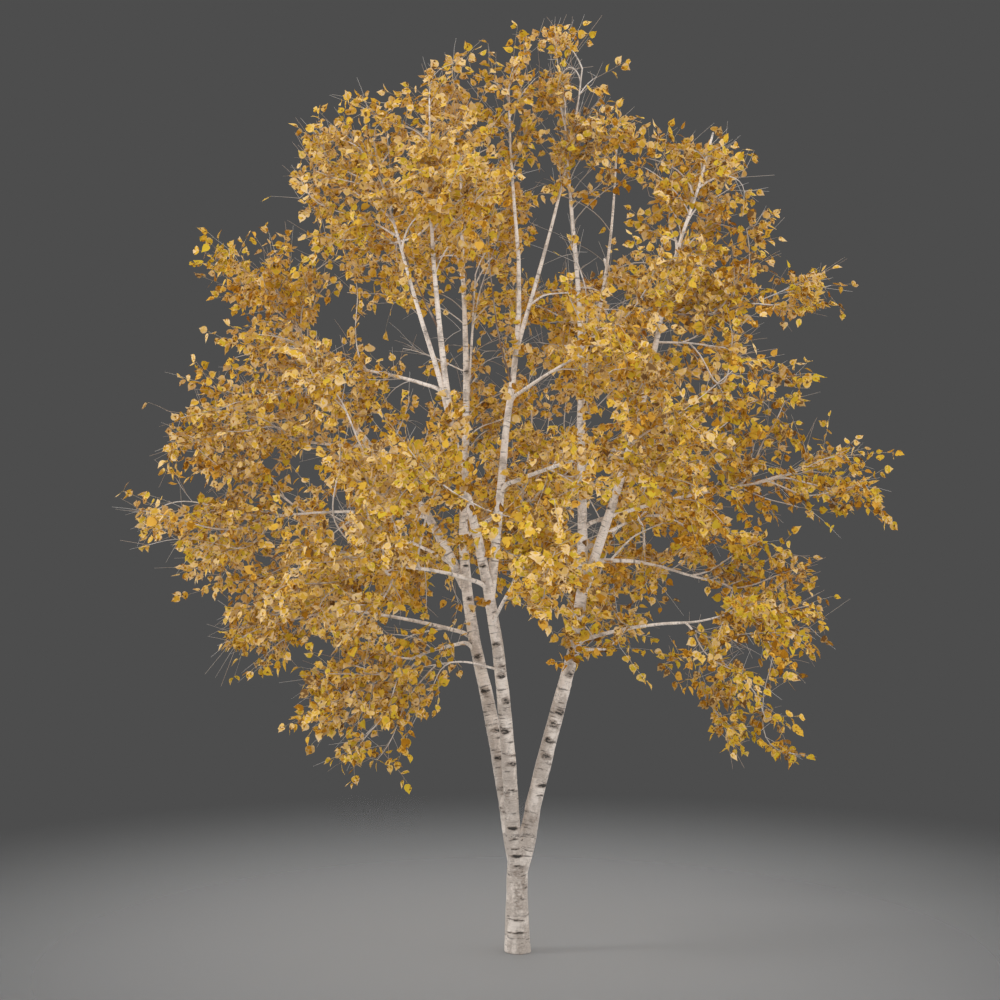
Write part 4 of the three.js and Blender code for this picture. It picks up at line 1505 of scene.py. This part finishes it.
def blade_template():
    """The corners and triangles of a flat blade."""
    half = np.array(MIDRIB + HEART + MARGIN)
    other = half[len(MIDRIB):] * (1, -1)
    corners = np.vstack([half, other])
    shift = len(half) - len(MIDRIB)

    def mirrored(face):
        """The same face on the other half."""
        return tuple(i if i < len(MIDRIB) else i + shift for i in reversed(face))

    faces = [*HALF_FACES, *(mirrored(face) for face in HALF_FACES)]
    return corners, np.array(faces)




class BIRCH_OT_leaves(Operator):
    """Sets a leaf on each place that the shoots have for one, and deals the tints out by spray"""

    bl_idname = "birch.leaves"
    bl_label = "Leaves"

    def execute(self, context):
        leaves, crown, shoots = context.scene.birch_leaves, crown_of(context), shoots_of(context)
        rng = draws(context, "leaves")
        materials = [
            shared_material(f"leaf_{tint}", leaf_material, tint, getattr(leaves, tint)) for tint in TINTS
        ]
        materials.append(shared_material("leaf_stalk", plain_material, "leaf_stalk", leaves.ochre, 0.6))
        tint = self.face_tints(crown, shoots, rng)
        corners, stalks = self.blades(shoots, leaves, rng)
        storeys = np.array([crown.storey[owner] for owner in crown.owners])[shoots.spray]
        for storey in STOREYS:
            mine = storeys == storey
            owners = [name for name, level in crown.storey.items() if level == storey]
            piece = self.joined(f"leaves_{storey}", corners[mine], stalks[mine], tint[mine], materials)
            finish_piece(piece, owners)
        return {"FINISHED"}

    def face_tints(self, crown, shoots, rng):
        """The tint of each face of each leaf: its spray's, but for stray leaves, hearts and spots."""
        count = len(shoots.place)
        chances = self.tint_chances(crown.sprays)
        tint = self.dealt(chances, rng)[shoots.spray]
        stray = rng.random(count) < STRAY
        tint[stray] = self.dealt(chances[shoots.spray[stray]], rng)
        deeper = np.array([TINTS.index(name) for name in DEEPER_TINTS])
        heart = np.where(rng.random(count) < TWICE_DEEPER, deeper[deeper[tint]], deeper[tint])
        blotched = rng.random((count, 2 * len(HALF_FACES))) < np.array(DEEP_CHANCES * 2)
        tint = np.where(blotched, heart[:, None], tint[:, None])
        spotted = rng.random(tint.shape) < SPOTTED
        browns = TINTS.index("russet"), TINTS.index("umber")
        tint[spotted] = rng.choice(browns, size=int(spotted.sum()))
        return tint

    @staticmethod
    def tint_chances(places):
        """The chance of each tint in each spray. Paler tints at the crown's top left are painted light, and
        deeper ones low down on its right are painted shade.
        """
        height = np.clip((places[:, 2] - CROWN_FOOT) / CROWN_HEIGHT, 0, 1)
        # Painted shade: the share of deeper tints grows downwards and to the right, away from the key light
        # on the left.
        deep = np.clip(0.6 - 0.6 * height + 0.2 * places[:, 0], 0, 1)[:, None]
        return (1 - deep) * np.array(PAINTED_LIGHT_SHARES) + deep * np.array(PAINTED_SHADE_SHARES)

    @staticmethod
    def dealt(chances, rng):
        """One tint for each row of chances."""
        card = rng.random((len(chances), 1))
        return (card > chances.cumsum(axis=1)).sum(axis=1).clip(max=len(TINTS) - 1)

    @staticmethod
    def blades(shoots, leaves, rng):
        """The corners of all the blades and of their stalks."""
        axis, place = shoots.axis, shoots.place
        count = len(place)
        size = leaves.size * rng.normal(1, 0.12, count).clip(0.6, 1.3)
        out = unit(place - UP * (place[:, 2:] - 0.6))
        face = across(0.3 * UP + 0.6 * out + 0.7 * rng.normal(size=(count, 3)), axis)
        side = np.cross(face, axis)
        share, breadth = blade_template()[0].T
        x = share * size[:, None]
        y = breadth * (size * leaves.broad / 2 * rng.normal(1, 0.08, count).clip(0.75, 1.25))[:, None]
        fold = leaves.fold * rng.uniform(-0.25, 1.3, count)[:, None]
        curl = leaves.curl * rng.uniform(-0.6, 1.8, count)[:, None]
        twist = rng.normal(0, 0.22, count)[:, None]
        z = fold * np.abs(y) - curl * size[:, None] * share**2 + twist * y * share
        base = place + axis * (leaves.stalk * size)[:, None]
        corners = (
            base[:, None] + axis[:, None] * x[:, :, None] + side[:, None] * y[:, :, None]
            + face[:, None] * z[:, :, None]
        )
        ring = directions_round(side, face, 2 * math.pi * np.arange(3) / 3)
        end = base + axis * 0.06 * size[:, None]
        stalks = np.concatenate([place[:, None] + STALK_RADIUS * ring, end[:, None]], axis=1)
        return corners, stalks

    @staticmethod
    def joined(name, corners, stalks, tint, materials):
        """Many leaves as one mesh."""
        faces = blade_template()[1]
        count, per_blade = corners.shape[:2]
        offset = np.arange(count)[:, None, None]
        blade_faces = faces[None] + per_blade * offset
        stalk_faces = np.array([(j, (j + 1) % 3, 3) for j in range(3)])
        stalk_faces = stalk_faces[None] + 4 * offset + count * per_blade
        everything = np.vstack([corners.reshape(-1, 3), stalks.reshape(-1, 3)])
        stalk_index = np.full(3 * count, len(TINTS))
        return build_mesh(
            name, everything, [blade_faces.reshape(-1, 3), stalk_faces.reshape(-1, 3)], materials,
            np.concatenate([tint.ravel(), stalk_index]), smooth=False,
        )


def leaf_material(tint, base):
    """A dull, dry leaf in one plain tint."""
    material, shader = new_material(f"leaf_{tint}", base, 0.7)
    shader.inputs["Specular IOR Level"].default_value = 0.02
    return material


# ------------------------------------------------------------------ stage


class BIRCH_OT_stage(Operator):
    """Sets up the floor, the soft studio light and the camera"""

    bl_idname = "birch.stage"
    bl_label = "Stage"

    def execute(self, context):
        stage = context.scene.birch_stage
        self.floor(stage)
        self.world(context.scene, stage)
        self.sun("key_light", stage.key, stage.key_angle, KEY_FROM)
        self.sun("fill_light", stage.fill, math.radians(FILL_ANGLE), FILL_FROM)
        self.camera(context.scene, stage)
        context.scene.view_settings.view_transform = "Standard"
        return {"FINISHED"}

    @staticmethod
    def floor(stage):
        """A plain pale floor round the foot of the tree, which fades out into the studio."""
        turn = 2 * math.pi * np.arange(FLOOR_SIDES) / FLOOR_SIDES
        radius = 1.2 * stage.floor_radius
        corners = np.column_stack([radius * np.cos(turn), radius * np.sin(turn), np.zeros(FLOOR_SIDES)])
        material, shader = new_material("floor", stage.floor, 0.9)
        nodes = Nodes(material.node_tree)
        place = nodes.new("ShaderNodeTexCoord").outputs["Object"]
        distance = nodes.new("ShaderNodeVectorMath", {0: place}, operation="LENGTH").outputs["Value"]
        fade = nodes.band(distance, 0.0, stage.floor_radius)
        clear = nodes.new("ShaderNodeBsdfTransparent")
        mix = nodes.new("ShaderNodeMixShader", {0: fade, 1: shader.outputs[0], 2: clear.outputs[0]})
        output = material.node_tree.nodes["Material Output"]
        material.node_tree.links.new(mix.outputs[0], output.inputs["Surface"])
        floor = build_mesh("floor", corners, [np.arange(FLOOR_SIDES)[None]], [material], smooth=False)

    @staticmethod
    def world(scene, stage):
        """Even light from all round, with the grey of the studio behind the tree."""
        world = bpy.data.worlds.new("studio")
        world.use_nodes = True
        scene.world = world
        nodes = Nodes(world.node_tree)
        ray = nodes.new("ShaderNodeLightPath").outputs["Is Camera Ray"]
        light = nodes.new("ShaderNodeBackground", {"Color": (1, 1, 1, 1), "Strength": stage.sky})
        grey = nodes.new("ShaderNodeBackground", {"Color": (*stage.backdrop, 1), "Strength": 1.0})
        mix = nodes.new("ShaderNodeMixShader", {0: ray, 1: light.outputs[0], 2: grey.outputs[0]})
        output = world.node_tree.nodes["World Output"]
        world.node_tree.links.new(mix.outputs[0], output.inputs["Surface"])

    @staticmethod
    def sun(name, strength, angle, bearing_and_height):
        """A large soft lamp. A bearing of 0 is in front of the tree, and -90 to its left."""
        bearing, height = (math.radians(value) for value in bearing_and_height)
        light = bpy.data.lights.new(name, "SUN")
        light.energy = strength
        light.angle = angle
        lamp = bpy.data.objects.new(name, light)
        towards = Vector((
            math.sin(bearing) * math.cos(height), -math.cos(bearing) * math.cos(height), math.sin(height),
        ))
        lamp.rotation_euler = towards.to_track_quat("Z", "Y").to_euler()
        bpy.context.scene.collection.objects.link(lamp)

    @staticmethod
    def camera(scene, stage):
        """A level camera in front of the tree."""
        camera = bpy.data.cameras.new("camera")
        camera.lens = LENS
        camera.sensor_width = SENSOR
        seat = bpy.data.objects.new("camera", camera)
        seat.location = (stage.camera_side, -stage.camera_distance, stage.camera_height)
        seat.rotation_euler = (math.pi / 2, 0, 0)
        scene.collection.objects.link(seat)
        scene.camera = seat


# ------------------------------------------------------------------ add-on

OPERATORS = (
    BIRCH_OT_trunk,
    BIRCH_OT_stems,
    BIRCH_OT_leaders,
    BIRCH_OT_boughs,
    BIRCH_OT_side_limbs,
    BIRCH_OT_branches,
    BIRCH_OT_leaves,
    BIRCH_OT_stage,
)


class BIRCH_PT_panel(Panel):
    """Lists the birch's settings and the buttons that make its pieces"""

    bl_idname = "BIRCH_PT_panel"
    bl_label = "Silver Birch"
    bl_space_type = "VIEW_3D"
    bl_region_type = "UI"
    bl_category = "Birch"

    def draw(self, context):
        for name, group in SETTINGS.items():
            box = self.layout.box()
            box.label(text=group.__doc__)
            for key in group.__annotations__:
                box.prop(getattr(context.scene, name), key)
        for operator in OPERATORS:
            self.layout.operator(operator.bl_idname)


CLASSES = (*SETTINGS.values(), *OPERATORS, BIRCH_PT_panel)


def register():
    """Registers the classes and puts their settings on the scene."""
    for item in CLASSES:
        bpy.utils.register_class(item)
    for name, group in SETTINGS.items():
        setattr(bpy.types.Scene, name, PointerProperty(type=group))


def unregister():
    """Takes everything away that register added."""
    for name in SETTINGS:
        delattr(bpy.types.Scene, name)
    for item in reversed(CLASSES):
        bpy.utils.unregister_class(item)


def main():
    """Makes the whole tree and its stage."""
    register()
    bpy.ops.birch.stage()
    bpy.ops.birch.trunk()
    bpy.ops.birch.stems()
    bpy.ops.birch.leaders()
    bpy.ops.birch.boughs()
    bpy.ops.birch.side_limbs()
    bpy.ops.birch.branches()
    bpy.ops.birch.leaves()
    bpy.context.view_layer.update()


if __name__ == "__main__":
    main()
